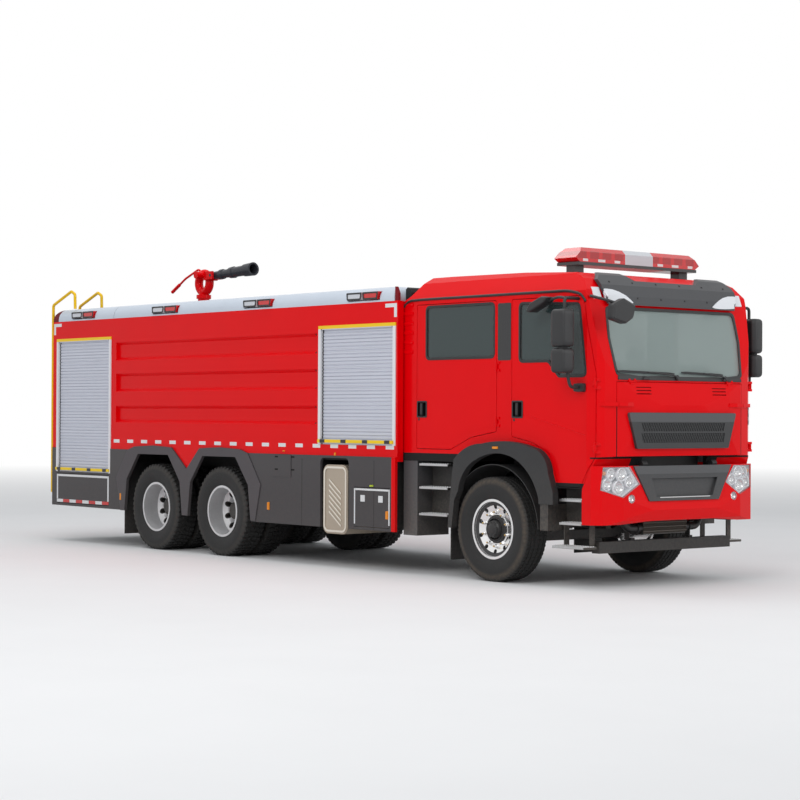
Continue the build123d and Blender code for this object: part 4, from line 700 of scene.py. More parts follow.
def each_side(make):
    """Makes the pieces of the right side, then those of the left."""
    def make_both():
        for side_name, side in sides:
            make(side_name, side)
    return make_both


def ahead_of(node, y, z, missed=None):
    """x of a CAD node's front at a place seen from the front; missed where the node isn't there."""
    hit, place, *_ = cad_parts[node].ray_cast(Vector((20, y, z)), Vector((-1, 0, 0)))
    return place.x - axle_x if hit else missed


def tyre_profile(grooves, groove_depth):
    """Section of a tyre as (across, radius, how far a lug's gap cuts into it)."""
    half = [(0.72, bead_radius, 0), (0.8, bead_radius + 0.012, 0), (0.9, bead_radius + 0.045, 0),
            (0.985, bead_radius + 0.09, 0), (1.0, bead_radius + 0.125, 0), (0.985, bead_radius + 0.16, 0),
            (0.945, bead_radius + 0.19, 0.15), (0.905, tyre_radius - 0.022, 0.7),
            (0.875, tyre_radius - 0.009, 1), (0.84, tyre_radius - 0.002, 1)]
    for low, high in grooves:
        half += [(high + 0.012, tyre_radius - 0.0008, 1), (high, tyre_radius - 0.001, 0.9),
                 (high - 0.012, tyre_radius - groove_depth, 0),
                 (low + 0.012, tyre_radius - groove_depth, 0), (low, tyre_radius, 0.9)]
    half = [(share * tyre_half_width, r, lug) for share, r, lug in (*half, (0.02, tyre_radius, 0.6))]
    return half + [(-across, r, lug) for across, r, lug in reversed(half)]


def tread_tyre(form, middle_y, axle, profile, pitches, depth, slant, gap):
    """One tyre, its shoulder lugs parted by gaps round the tread."""
    rings = []
    for k in range(pitches):
        for share, cut in ((0, 1), (0.05, 0), (0.95 - gap, 0), (1 - gap, 1)):
            ring = []
            for across, r, lug in profile:
                angle = 2 * pi * (k + share) / pitches + slant * abs(across)
                reach = r - depth * lug * cut
                ring.append((axle + sin(angle) * reach, middle_y + across, axle_z + cos(angle) * reach))
            rings.append(ring)
    form.skin(rings, False)


@each_side
def wheel_covers(side_name, side):
    """Tyres with their tread, in place of the plain ones."""
    profile = tyre_profile(((0.52, 0.6), (0.16, 0.24)), 0.012)
    low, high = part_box(f"front_tyre_{side_name}")
    form = Form()
    tread_tyre(form, (low[1] + high[1]) / 2, 0, profile, 72, 0.006, 0, 0.3)
    tyre = form.piece(f"front_tyre_tread_{side_name}", front_rubber, f"front_wheel_{side_name}", 0, 30)
    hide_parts(f"front_tyre_{side_name}")
    profile = tyre_profile(((0.4, 0.5), (0.02, 0.1)), 0.014)
    for number, axle in enumerate(rear_axle_xs, 1):
        low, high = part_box(f"rear_tyres_{number}_{side_name}")
        form = Form()
        for middle in (low[1] + 0.15, high[1] - 0.15):
            tread_tyre(form, middle, axle, profile, 50, 0.014, 0.5, 0.4)
        tyre = form.piece(f"rear_tyre_treads_{number}_{side_name}", rear_rubber,
                          f"rear_wheels_{number}_{side_name}", 0, 30)
        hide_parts(f"rear_tyres_{number}_{side_name}")


door_windows = {
    "front": [(0.38, 2.19), (0.78, 2.19), (0.925, 2.04), (1.285, 2.04), (1.195, 2.716), (0.38, 2.75)],
    "rear": oblong((-1.02, 0.0), (2.24, 2.765)),
}
screen_outline = [(-0.884, 2.06), (-0.6, 2.035), (0.6, 2.035), (0.884, 2.06), (0.925, 2.4),
                  (0.905, 2.68), (-0.905, 2.68), (-0.925, 2.4)]


def screen_x(z):
    """Front of the raked windscreen plane at a height."""
    return 1.46 - (z - 2.03) * 0.135 / 0.67


@each_side
def window_seals(side_name, side):
    """Rubber frames round the doors' windows."""
    for door, window in door_windows.items():
        outer, inner = rounded(widened(window, 0.02), 0.065), rounded(widened(window, -0.006), 0.04)
        Form().rim(outer, inner, "y", *depths(side, cab_side_y, -0.004, 0.004)).piece(
            f"{door}_window_seal_{side_name}", seal_rubber, f"{door}_door_{side_name}", 0.002)


def screen_seal():
    """Rubber frame round the windscreen."""
    rings = []
    for grow, depth in ((0.024, -0.004), (0.024, 0.005), (-0.006, 0.005), (-0.006, -0.004)):
        outline = rounded(widened(screen_outline, grow), 0.06)
        rings.append([(screen_x(z) + depth, y, z) for y, z in outline])
    Form().skin(rings, False).piece("windscreen_seal", seal_rubber, bevel=0.002)


@each_side
def pillar_panels(side_name, side):
    """Gloss black panels between the side windows, drip rails and creases of the doors."""
    Form().prism(oblong((0.062, 0.252), (2.2, 2.768), 0.02), "y",
                 *depths(side, cab_side_y, -0.0005, 0.0035)).piece(
        f"pillar_panel_{side_name}", gloss_black, bevel=0.001)
    path = ((-1.385, 1.143, 2.79), (-1.3, 1.143, 2.846), (-1.1, 1.143, 2.852), (1.05, 1.143, 2.852),
            (1.22, 1.139, 2.815), (1.285, 1.139, 2.74))
    Form().tube([(x, side * y, z) for x, y, z in path], 0.014, 0.08).piece(
        f"drip_rail_{side_name}", seal_rubber, bevel=0)
    crease = [(0.5, 1.652), (0.54, 1.64), (1.29, 1.466), (1.29, 1.474), (0.55, 1.652)]
    Form().prism(crease, "y", *depths(side, cab_side_y, -0.002, 0.0035), -0.002).piece(
        f"door_crease_{side_name}", red_fittings, f"front_door_{side_name}", 0.001)


@each_side
def door_handles(side_name, side):
    """Bezels round the handle recesses, grips in them and a lock below each."""
    for door, rear_edge in handle_xs.items():
        recess = oblong((rear_edge, rear_edge + handle_width), (1.64, 1.79))
        outer, inner = rounded(widened(recess, 0.012), 0.018), rounded(widened(recess, -0.004), 0.01)
        form = Form().rim(outer, inner, "y", *depths(side, cab_side_y, -0.003, 0.0045))
        grip = oblong((rear_edge + 0.047, rear_edge + 0.083), (1.66, 1.775), 0.012)
        form.prism(grip, "y", *depths(side, cab_side_y, 0.007, 0.0135), -0.003)
        form.spun((rear_edge + 0.02, side * (cab_side_y - 0.001), 1.61), (0, side, 0),
                  ((0, 0.013), (0.004, 0.013), (0.006, 0.009), (0.004, 0.006)), 20)
        form.piece(f"{door}_door_handle_{side_name}", black_plastic, f"{door}_door_{side_name}", 0.001)


def wiper_set():
    """Two wipers parked low along the windscreen, and the cowl below it."""
    for number, (pivot, tip) in enumerate(((-0.07, -0.89), (0.64, 0.01)), 1):
        form = Form()
        foot_x = screen_x(2.03) + 0.004
        form.spun((foot_x, pivot, 2.026), (1, 0, 0.2), ((0, 0.026), (0.02, 0.026), (0.03, 0.018)), 20)
        form.tube([(foot_x + 0.022, pivot, 2.032), (screen_x(2.055) + 0.028, pivot - 0.07, 2.056),
                   (screen_x(2.076) + 0.016, (pivot + tip) / 2, 2.078)], 0.008)
        blade = []
        for share in (0, 0.08, 0.5, 0.92, 1):
            y = pivot - 0.03 + (tip - pivot + 0.03) * share
            z = 2.066 + 0.016 * share
            thick = 0.011 if 0 < share < 1 else 0.006
            x = screen_x(z) + 0.011
            blade.append([(x - 0.004, y, z - thick), (x + 0.004, y, z - thick),
                          (x + 0.006, y, z + thick), (x - 0.005, y, z + thick)])
        form.skin(blade).piece(f"wiper_{number}", black_plastic, bevel=0.001)
    caps = Form()
    for y in (-0.51, 0.64):
        cap = [(y - 0.055, 2.001), (y + 0.055, 2.001), (y + 0.04, 2.034), (y - 0.04, 2.034)]
        caps.prism(rounded(cap, 0.01), "x", 1.462, 1.49, -0.006)
    caps.piece("wiper_caps", black_plastic, bevel=0.001)
    cowl = [(1.455, 1.999), (1.472, 2.0), (1.471, 2.02), (1.463, 2.036), (1.455, 2.036)]
    Form().skin([laid(cowl, "y", y) for y in (-0.885, -0.5, 0, 0.5, 0.885)]).piece(
        "screen_cowl", black_plastic, bevel=0.002)


def visor_lamps():
    """Corner lamps that follow the visor's face at its ends, and the screws along it."""
    form = Form()
    corner = rounded([(1.25, 2.874), (1.298, 2.765), (1.322, 2.772), (1.28, 2.884)], 0.006)
    for side in (-1, 1):
        form.prism(corner, "y", side * 0.962, side * 1.062)
        rings = []
        for y, low, high in ((0.575, 2.741, 2.749), (0.61, 2.734, 2.775), (0.67, 2.731, 2.812),
                             (0.75, 2.732, 2.845), (0.83, 2.736, 2.864), (0.9, 2.742, 2.868),
                             (0.93, 2.77, 2.868), (0.948, 2.82, 2.864)):
            heights = [low + (high - low) * share / 6 for share in range(7)]
            outer = [(ahead_of("sun_visor", side * y, z, 1.33) + 0.008, side * y, z) for z in heights]
            rings.append(outer + [(x - 0.012, y, z) for x, y, z in reversed(outer)])
        form.skin(rings)
    form.piece("visor_corner_lamps", clear_lens, bevel=0.003)
    screws = Form()
    screw = ((0, 0.011), (0.004, 0.011), (0.008, 0.006))
    for y in (-0.82, -0.5, -0.17, 0.17, 0.5, 0.82):
        for z in (2.79, 2.94):
            x = ahead_of("sun_visor", y, z)
            if x is not None:
                screws.spun((x - 0.002, y, z), (1.002, 0, 0.5), screw, 14)
    screws.piece("visor_screws", seal_rubber, bevel=0)


def grille_mesh():
    """Woven bars in the two slots of the grille."""
    form = Form()
    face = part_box("grille")[1][0] - axle_x
    count = 34
    for low, high in ((1.4, 1.49), (1.51, 1.59)):
        for k in range(count):
            for lean in (-1, 1):
                y = -0.565 + 1.13 * k / (count - 1)
                shift = lean * (high - low) * 0.28
                bar = [(y - shift - 0.003, low), (y - shift + 0.003, low), (y + shift + 0.003, high),
                       (y + shift - 0.003, high)]
                form.prism(bar, "x", face - 0.012, face - 0.004 - 0.001 * lean)
        for share in (0.33, 0.67):
            form.slab((face - 0.012, face - 0.003), (-0.575, 0.575),
                      about(low + (high - low) * share, 0.003))
    form.piece("grille_mesh", black_plastic, "front_lid", 0)


@each_side
def lamp_internals(side_name, side):
    """Housing, reflector bowls, their silver rings and the turn lamp behind the lenses."""
    outline = [(0.628, 1.006), (0.835, 0.884), (1.078, 0.956), (1.056, 1.165), (0.756, 1.165)]
    fronts = [ahead_of("lamps", side * y, z, 1.45) for y, z in widened(outline, -0.012)]
    wall = [[(x - depth, side * y, z) for x, (y, z) in zip(fronts, widened(outline, grow))]
            for depth, grow in ((0.012, -0.004), (0.07, -0.022), (0.074, -0.004), (0.014, -0.001))]
    housing = Form().skin(wall, False)
    housing.skin([wall[1], [(x - 0.003, y, z) for x, y, z in wall[1]]])
    housing.piece(f"headlamp_housing_{side_name}", bowl_silver, bevel=0)
    bowls, trims = Form(), Form()
    for y, z, radius in ((0.952, 1.1, 0.05), (0.838, 1.098, 0.058), (0.992, 1.004, 0.055),
                         (0.872, 0.972, 0.063), (0.738, 1.03, 0.05)):
        foot = ahead_of("lamps", side * y, z) - 0.062
        bowls.spun((foot, side * y, z), (1, 0, 0), (
            (0, 0.012), (0.002, radius * 0.5), (0.018, radius * 0.85), (0.04, radius),
            (0.042, radius - 0.004), (0.02, radius * 0.8), (0.006, radius * 0.45), (0.03, 0.012),
            (0.034, 0.004)), 28)
        trims.rim(disc(side * y, z, radius + 0.008), disc(side * y, z, radius), "x",
                  foot + 0.02, foot + 0.044)
    foot = ahead_of("lamps", side * 0.735, 0.865) - 0.045
    bowls.spun((foot, side * 0.735, 0.865), (1, 0, 0), (
        (0, 0.01), (0.002, 0.024), (0.03, 0.037), (0.032, 0.034), (0.008, 0.02), (0.02, 0.006)), 24)
    bowls.piece(f"headlamp_bowls_{side_name}", chrome, bevel=0, angle=60)
    trims.piece(f"headlamp_trim_{side_name}", bowl_silver, bevel=0)
    foot = ahead_of("lamps", side * 1.03, 1.11) - 0.03
    Form().spun((foot, side * 1.03, 1.11), (1, 0, 0), (
        (0, 0.014), (0.012, 0.022), (0.02, 0.018), (0.024, 0.008)), 20).piece(
        f"turn_lamp_{side_name}", amber_lens, bevel=0)


@each_side
def tread_plates(side_name, side):
    """Bright studded plates on the cab steps."""
    form = Form()
    stud = ((0, 0.011), (0.006, 0.009), (0.006, 0.006), (0.0015, 0.005))
    rear_step = (-1.135, -0.695)
    for (x_from, x_to), z in (((0.842, 1.258), 0.403), ((0.935, 1.23), 0.853), ((0.935, 1.23), 0.629),
                              (rear_step, 1.15), (rear_step, 0.91), (rear_step, 0.635)):
        form.slab((x_from, x_to), (side * 0.965, side * 1.133), (z, z + 0.003))
        form.slab((x_from, x_to), (side * 1.133, side * 1.1365), (z - 0.018, z + 0.003))
        columns = int((x_to - x_from) / 0.034)
        for i in range(columns):
            x = x_from + (x_to - x_from) * (i + 0.5) / columns
            for j in range(5):
                form.spun((x, side * (0.985 + 0.031 * j), z + 0.002), (0, 0, 1), stud, 8)
    form.piece(f"step_treads_{side_name}", bright_alloy, bevel=0, angle=50)


def tape(form, x, z, side, face, thick=tape_thickness):
    """A strip stuck to the side, with tiny rounded corners."""
    form.prism(oblong(x, z, 0.003, 2), "y", *depths(side, face, 0, thick))


def taped_frame(form, x, z, side, width, top_width):
    """Tapes up both sides of a hatch and along its top."""
    gap = 0.004
    for span in ((x[0], x[0] + width), (x[1] - width, x[1])):
        tape(form, span, z, side, body_side_y)
    tape(form, (x[0] + width + gap, x[1] - width - gap), (z[1] - top_width, z[1]), side, body_side_y)


def taped_span(node):
    """The stretch along the truck that a hatch's tapes cover."""
    low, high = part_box(node)
    return low[0] - axle_x + 0.012, high[0] - axle_x - 0.012


@each_side
def reflective_marks(side_name, side):
    """White dashes along the body, frames on the hatches, red and white blocks at the tail."""
    form = Form()
    for k in range(18):
        x = -6.925 + k * 0.3155
        tape(form, (x, x + 0.135), (1.292, 1.333), side, panel_y)
    for x_end, way in ((-1.39, -1), (-8.405, 1)):
        corner = [(x_end, 2.825), (x_end, 2.68), (x_end + way * 0.045, 2.68), (x_end + way * 0.045, 2.785),
                  (x_end + way * 0.19, 2.785), (x_end + way * 0.19, 2.825)]
        form.prism(corner, "y", *depths(side, panel_y, 0, tape_thickness))
    form.piece(f"side_dashes_{side_name}", white_tape, bevel=0)
    low, high = taped_span(f"rear_hatch_{side_name}")
    form, marks = Form(), Form()
    taped_frame(form, (low, high), (0.545, 0.865), side, 0.03, 0.027)
    count = 8
    for k in range(count):
        start = low + (high - low) * k / count
        tape(marks if k % 2 else form, (start + 0.002, start + (high - low) / count - 0.002),
             (0.502, 0.542), side, body_side_y)
    form.piece(f"rear_hatch_frame_{side_name}", white_tape, f"rear_hatch_{side_name}", 0)
    marks.piece(f"rear_hatch_blocks_{side_name}", red_tape, f"rear_hatch_{side_name}", 0)
    low, high = taped_span(f"front_hatch_{side_name}")
    form = Form()
    taped_frame(form, (low, high), (0.49, 0.87), side, 0.02, 0.02)
    middle = (low + high) / 2
    for x in about(middle, 0.15):
        tape(form, about(x, 0.036), (0.73, 0.8), side, body_side_y, 0.004)
    form.piece(f"front_hatch_frame_{side_name}", white_tape, f"front_hatch_{side_name}", 0.0008)
    latch = [(middle - 0.03, 0.892), (middle + 0.03, 0.892), (middle + 0.025, 0.912),
             (middle - 0.025, 0.912)]
    Form().prism(rounded(latch, 0.006), "y", *depths(side, body_side_y, 0, 0.012), -0.003).piece(
        f"hatch_latch_{side_name}", latch_paint, bevel=0.001)


@each_side
def shutter_latches(side_name, side):
    """Black grips on the shutters' foot bars."""
    form = Form()
    for x_from, x_to, z in ((-8.32, -6.99, 0.9375), (-2.72, -1.4, 1.3675)):
        for share in (0.08, 0.36, 0.64, 0.92):
            grip = oblong(about(x_from + (x_to - x_from) * share, 0.045), about(z, 0.019), 0.006, 3)
            form.prism(grip, "y", *depths(side, body_side_y, 0.01, 0.0248), -0.002)
    form.piece(f"shutter_grips_{side_name}", black_plastic, bevel=0.001)


@each_side
def side_markers(side_name, side):
    """Amber lamps along the skirts, the body and the wheel guard."""
    form = Form()
    for x, z, wide, tall, face in (
            (-6.73, 0.62, 0.02, 0.045, body_side_y), (-3.62, 0.62, 0.02, 0.045, body_side_y),
            (-1.52, 0.6, 0.02, 0.045, body_side_y), (-3.35, 1.245, 0.02, 0.009, panel_y),
            (-2.42, 1.22, 0.014, 0.026, panel_y), (0.11, 1.335, 0.04, 0.014, 1.214)):
        lens = oblong(about(x, wide), about(z, tall), 0.008, 4)
        form.prism(lens, "y", *depths(side, face, -0.0005, 0.012), -0.004)
    form.piece(f"side_marker_lamps_{side_name}", amber_lens, bevel=0.002)


def thin_sheet(form, corners, span, shift):
    """An upright sheet between two corners (x, y), as thick as the shift."""
    rings = []
    for z in span:
        near = [(x, y, z) for x, y in corners]
        rings.append(near + [(x + shift[0], y + shift[1], z) for x, y, z in reversed(near)])
    return form.skin(rings)


def hazard_plate():
    """Slanted black and white stripes on the left front corner."""
    finish = Finish("hazard_stripes", (0.75, 0.75, 0.75), 0.4)
    stripe = (((finish.z + finish.y * 1.2) * 14) % 1.0) > 0.5
    finish.set(Base_Color=finish.mix(stripe, (0.75, 0.75, 0.75), black_and_painted_shade),
               Roughness=finish.noise(30, 3) * 0.1 + 0.35)
    front, rear = Vector((1.4345, 1.0325)), Vector((1.3895, 1.0955))
    out = Vector((rear.y - front.y, front.x - rear.x)).normalized() * 0.003
    thin_sheet(Form(), (front, rear), (1.57, 1.755), out).piece("corner_stripe_plate", finish, bevel=0.0008)


def intake_grid():
    """Painted shade: black discs for the dark insides of the holes in the air intake cap behind the cab."""
    form = Form()
    face_y, pitch = -1.0872, 0.0145
    for i in range(6):
        for j in range(8):
            x, z = -1.418 + i * pitch, 2.872 + j * pitch
            if z < 2.95 or x + 1.335 <= (2.985 - z) * 0.3 - 0.03:
                form.spun((x, face_y, z), (0, 1, 0), ((0, 0.0052), (0.003, 0.0052)), 6)
    form.piece("intake_hole_shade", seal_rubber, bevel=0)


def cloth_puff(piece):
    """Swells a closed cloth form a little, no point by more than a cap."""
    cap = 0.014
    data = piece.data
    start = [v.co.copy() for v in data.vertices]
    cloth = piece.modifiers.new("puff", "CLOTH")
    cloth.settings.use_pressure = True
    cloth.settings.uniform_pressure_force = 4
    cloth.settings.effector_weights.gravity = 0
    cloth.settings.quality = 4
    scene = bpy.context.scene
    for step in range(1, 21):
        scene.frame_set(step)
    shaped = piece.evaluated_get(bpy.context.evaluated_depsgraph_get())
    moved = [v.co.copy() for v in shaped.data.vertices]
    piece.modifiers.remove(cloth)
    scene.frame_set(1)
    for vertex, before, after in zip(data.vertices, start, moved):
        shift = after - before
        if shift.length > cap:
            shift *= cap / shift.length
        vertex.co = before + shift


def padding(name, rings, seams):
    """A stuffed cloth piece: rings of four corners, seams as (axis, place, depth)."""
    piece = Form().skin(rings).ended(name)
    remesh = piece.modifiers.new("even", "REMESH")
    remesh.mode, remesh.voxel_size = "VOXEL", 0.013
    relax = piece.modifiers.new("relax", "SMOOTH")
    relax.factor, relax.iterations = 0.5, 6
    shaped = piece.evaluated_get(bpy.context.evaluated_depsgraph_get())
    even = bpy.data.meshes.new_from_object(shaped)
    piece.modifiers.clear()
    piece.data = even
    even.name = name
    cloth_puff(piece)
    seam_reach = 0.03
    for axis, place, depth in seams:
        for vertex in even.vertices:
            near = abs(vertex.co[axis] - place)
            if near < seam_reach:
                vertex.co -= vertex.normal * depth * (1 - near / seam_reach) ** 2
    even.shade_smooth()
    even.materials.clear()
    even.materials.append(seat_cloth.material)
    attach(piece, "truck")
    return piece


def lying(y_from, y_to, levels):
    """Rings of four corners across the truck, from (rear x, front x, rear z, front z)."""
    return [[(rear_x, y_from, low), (rear_x, y_to, low), (front_x, y_to, high), (front_x, y_from, high)]
            for rear_x, front_x, low, high in levels]


def seat(name, x, y_from, y_to, floor_z, back_top, sections):
    """A seat: cushion, leaning back, headrests, on a moulded pedestal."""
    width, middle = y_to - y_from, (y_from + y_to) / 2
    seams = [(1, y_from + width * k / sections, 0.012) for k in range(1, sections)]
    low, high = floor_z + 0.165, floor_z + 0.28
    padding(f"{name}_cushion", lying(y_from + 0.02, y_to - 0.02, (
        (x + 0.09, x + 0.09, low, high - 0.015), (x + 0.28, x + 0.28, low, high),
        (x + 0.46, x + 0.46, low + 0.01, high - 0.012))), seams + [(0, axle_x + x + 0.33, 0.008)])
    padding(f"{name}_back", lying(y_from + 0.025, y_to - 0.025, (
        (x + 0.02, x + 0.105, floor_z + 0.25, floor_z + 0.25),
        (x - 0.005, x + 0.09, floor_z + 0.5, floor_z + 0.5),
        (x - 0.03, x + 0.05, back_top, back_top))), seams + [(2, floor_z + 0.48, 0.008)])
    form = Form()
    foot = oblong((x + 0.06, x + 0.45), (y_from + 0.03, y_to - 0.03), 0.03)
    form.prism(foot, "z", floor_z + 0.001, floor_z + 0.155, -0.01)
    heads = (middle,) if sections == 1 else (y_from + width / 6, middle, y_to - width / 6)
    for number, y in enumerate(heads, 1):
        for rod_y in about(y, 0.05):
            form.rod((x, rod_y, back_top - 0.02), (x - 0.01, rod_y, back_top + 0.05), 0.006)
        head = []
        for rear_x, front_x, lift, half in ((-0.045, 0.03, 0.03, 0.11), (-0.055, 0.025, 0.1, 0.12),
                                            (-0.05, 0.01, 0.16, 0.095)):
            z = back_top + lift
            head += lying(y - half, y + half, ((x + rear_x, x + front_x, z, z),))
        padding(f"{name}_headrest_{number}", head, ())
    return form.piece(f"{name}_pedestal", dash_plastic, bevel=0.004)


def dashboard():
    """Dashboard with its hood, console and vents, in place of the plain cab inside."""
    form = Form()
    board = [(1.005, 1.8), (1.372, 1.765), (1.348, 1.955), (1.25, 1.985), (1.07, 1.975), (0.995, 1.9)]
    form.prism(rounded(board, 0.02), "y", -0.94, 0.94)
    form.skin([laid([(1.02, 1.95), (1.22, 1.97), (1.2, top), (1.04, top - 0.012)], "y", y)
               for y, top in ((0.52, 1.975), (0.58, 1.995), (0.92, 1.995), (0.938, 1.975))])
    form.prism(rounded([(0.99, 1.62), (1.2, 1.62), (1.2, 1.88), (1.01, 1.88)], 0.02), "y", -0.12, 0.34)
    for y in (-0.8, -0.3, 0.2, 0.45):
        form.prism(oblong(about(y, 0.06), (1.865, 1.905), 0.01, 3), "x", 0.985, 1.01)
    dash = form.piece("dashboard", dash_plastic, bevel=0.004)
    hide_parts("cab_interior")


def steering_wheel():
    """Rim, three spokes and hub on a raked column."""
    middle, tilt = Vector((0.86, 0.75, 1.99)), Vector((-0.55, 0, 0.83)).normalized()
    across, over = Vector((0, 1, 0)), tilt.cross(Vector((0, 1, 0)))
    foot = middle - tilt * 0.02
    wheel = Form()
    wheel.rod((1.05, 0.75, 1.885), foot, 0.032)
    outwards = circle(Vector((0, 0, 0)), across, over, 1, 40)
    wheel.skin([circle(middle + out * 0.22, out, tilt, 0.0145, 10) for out in outwards], False)
    for turn in (0.25, pi - 0.25, 1.5 * pi):
        out = across * cos(turn) + over * sin(turn)
        wheel.rod(middle + out * 0.05, middle + out * 0.212, 0.013)
    wheel.spun(foot, tilt, ((0, 0.06), (0.02, 0.075), (0.035, 0.07), (0.042, 0.045)), 28)
    wheel.piece("steering_wheel", black_plastic, bevel=0)


def seats():
    """Two front seats and a bench."""
    for name, y_from in (("driver_seat", 0.52), ("passenger_seat", -0.98)):
        seat(name, 0.15, y_from, y_from + 0.46, 1.4605, 2.2, 1)
    seat("rear_bench", -1.25, -0.96, 0.96, 1.3305, 2.08, 3)


@each_side
def wheel_dressing(side_name, side):
    """Hub caps with bolts, and chromed nuts on the front wheels with their studs."""
    wheel, outwards = f"front_wheel_{side_name}", (0, side, 0)
    form = Form()
    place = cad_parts[f"front_rim_{side_name}"].ray_cast(
        Vector((axle_x + 0.03, side * 3, axle_z + 0.02)), Vector((0, -side, 0)))[1]
    hub = place.y
    form.spun((0, hub, axle_z), outwards, (
        (-0.004, 0.078), (0.003, 0.078), (0.006, 0.07), (0.004, 0.06), (0.012, 0.045), (0.014, 0.02)), 32)
    for k in range(8):
        turn = 2 * pi * k / 8
        form.spun((cos(turn) * 0.067, hub + side * 0.003, axle_z + sin(turn) * 0.067), outwards,
                  ((0, 0.007), (0.005, 0.007), (0.007, 0.004)), 6)
    disc_y = side * nut_seat_y
    form.spun((0, disc_y, axle_z), outwards, (
        (-0.001, 0.142), (0.01, 0.142), (0.016, 0.136), (0.018, 0.118), (0.03, 0.112), (0.03, 0.106),
        (-0.001, 0.106)), 40, False)
    form.piece(f"hub_cover_{side_name}", hub_black, wheel, 0)
    nuts, tips = Form(), Form()
    for k in range(10):
        turn = 2 * pi * (k + 0.5) / 10
        x, z = cos(turn) * 0.17, axle_z + sin(turn) * 0.17
        nuts.spun((x, disc_y, z), outwards,
                  ((0, 0.02), (0.004, 0.02), (0.006, 0.0165), (0.03, 0.0155), (0.034, 0.01)), 12)
        tips.spun((x, disc_y + side * 0.033, z), outwards,
                  ((0, 0.009), (0.012, 0.0085), (0.015, 0.005)), 10)
    nuts.piece(f"wheel_nuts_{side_name}", chrome, wheel, 0, 50)
    tips.piece(f"wheel_studs_{side_name}", brass, wheel, 0, 50)


@each_side
def door_mirrors(side_name, side):
    """Mirror arms with rounded housings and their glasses, in place of the plain ones."""
    door = f"front_door_{side_name}"
    outline = ((1.085, 1.41), (1.105, 1.281), (1.265, 1.281), (1.304, 1.32), (1.289, 1.439), (1.135, 1.439))
    kerb = ((0.642, 2.656), (0.7, 2.651), (0.9, 2.736), (0.958, 2.789), (0.86, 2.799), (0.702, 2.741))
    arms = Form()
    for path, radius in ((((1.19, 1.1405, 2.77), (1.19, 1.33, 2.77), (1.19, 1.33, 2.6)), 0.016),
                         (((1.23, 1.1405, 1.925), (1.23, 1.29, 1.925), (1.2, 1.33, 2.14)), 0.016),
                         (((1.18, 1.31, 2.77), (1.05, 1.27, 2.785), (0.9, 1.26, 2.76)), 0.014)):
        arms.tube([(x, side * y, z) for x, y, z in path], radius, 0.04)
    arms.prism(oblong((1.161, 1.289), (1.881, 1.964), 0.02), "y",
               *depths(side, cab_side_y, 0.0005, 0.044), -0.004)
    for low, high in ((2.06, 2.29), (2.305, 2.66)):
        rings = []
        for z, inset in ((low, 0.024), (low + 0.008, 0.011), (low + 0.024, 0.002), (low + 0.05, 0),
                         (high - 0.05, 0), (high - 0.024, 0.002), (high - 0.008, 0.011), (high, 0.024)):
            ring = widened([(x, side * y) for x, y in outline], -inset)
            rings.append(laid(rounded(ring, 0.034), "z", z))
        arms.skin(rings)
    neck = rounded([(x * 0.5 + 0.6, side * (y * 0.5 + 0.68)) for x, y in outline], 0.008)
    arms.prism(neck, "z", 2.28, 2.32)
    arms.skin([laid(rounded(widened(kerb, -inset), 0.02), "y", side * y) for y, inset in (
        (1.2, 0.014), (1.206, 0.005), (1.22, 0), (1.31, 0), (1.324, 0.005), (1.33, 0.014))])
    mirror = arms.piece(f"door_mirror_{side_name}", black_plastic, door, 0, 30)
    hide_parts(f"mirror_{side_name}")
    faces = Form()
    for span in ((2.09, 2.262), (2.335, 2.632)):
        thin_sheet(faces, ((1.0845, side * 1.398), (1.1015, side * 1.297)), span, (-0.004, 0))
    faces.piece(f"mirror_faces_{side_name}", chrome, door, 0.0008)


def lid_gap():
    """Duct, cooler and pipes seen round the bumper, the lid's two rests and a bright strip."""
    form = Form().slab((1.251, 1.262), (-0.59, 0.59), (0.86, 1.285))
    rest = rounded([(1.375, 1.18), (1.46, 1.18), (1.462, 1.2), (1.44, 1.225), (1.38, 1.205)], 0.006, 3)
    for y in (-0.5, 0.5):
        form.prism(rest, "y", *about(y, 0.035))
    form.piece("radiator_duct", black_plastic, bevel=0.001)
    core = Form()
    for k in range(62):
        core.slab((1.2505, 1.262), about(-0.305 + 0.01 * k, 0.0012), (0.512, 0.855))
    for k in range(8):
        core.slab((1.2505, 1.2645), (-0.312, 0.312), about(0.53 + 0.042 * k, 0.004))
    core.piece("cooler_fins", cooler_paint, bevel=0)
    pipes = Form()
    for side in (-1, 1):
        pipes.tube([(1.215, side * 0.3, 0.565), (1.215, side * 0.5, 0.565), (1.2, side * 0.57, 0.68),
                    (1.2, side * 0.57, 0.9)], 0.042, 0.06, 16)
        pipes.spun((1.215, side * 0.36, 0.565), (0, side, 0), (
            (0, 0.043), (0.002, 0.052), (0.018, 0.052), (0.02, 0.043)), 20)
    pipes.piece("cooler_pipes", hub_black, bevel=0)
    front = ahead_of("bumper_insert", 0, 0.872)
    Form().slab(about(front, 0.004), (-0.36, 0.36), (0.868, 0.877)).piece(
        "insert_bright_strip", chrome, bevel=0.001)


@each_side
def roof_lamp_frames(side_name, side):
    """Black housings round the clear and red lamps along the roof edge."""
    form = Form()
    for middle in roof_lamp_xs:
        for x in about(middle, 0.1375):
            low, high = about(x, 0.1255)
            lens = [(low, 2.88), (high - 0.018, 2.88), (high, 2.961), (low - 0.008, 2.961)]
            outer, inner = rounded(lens, 0.01, 3), rounded(widened(lens, -0.017), 0.012, 3)
            form.rim(outer, inner, "y", *depths(side, body_side_y, 0.0045, 0.0105))
    form.piece(f"roof_lamp_frames_{side_name}", black_plastic, bevel=0.001)


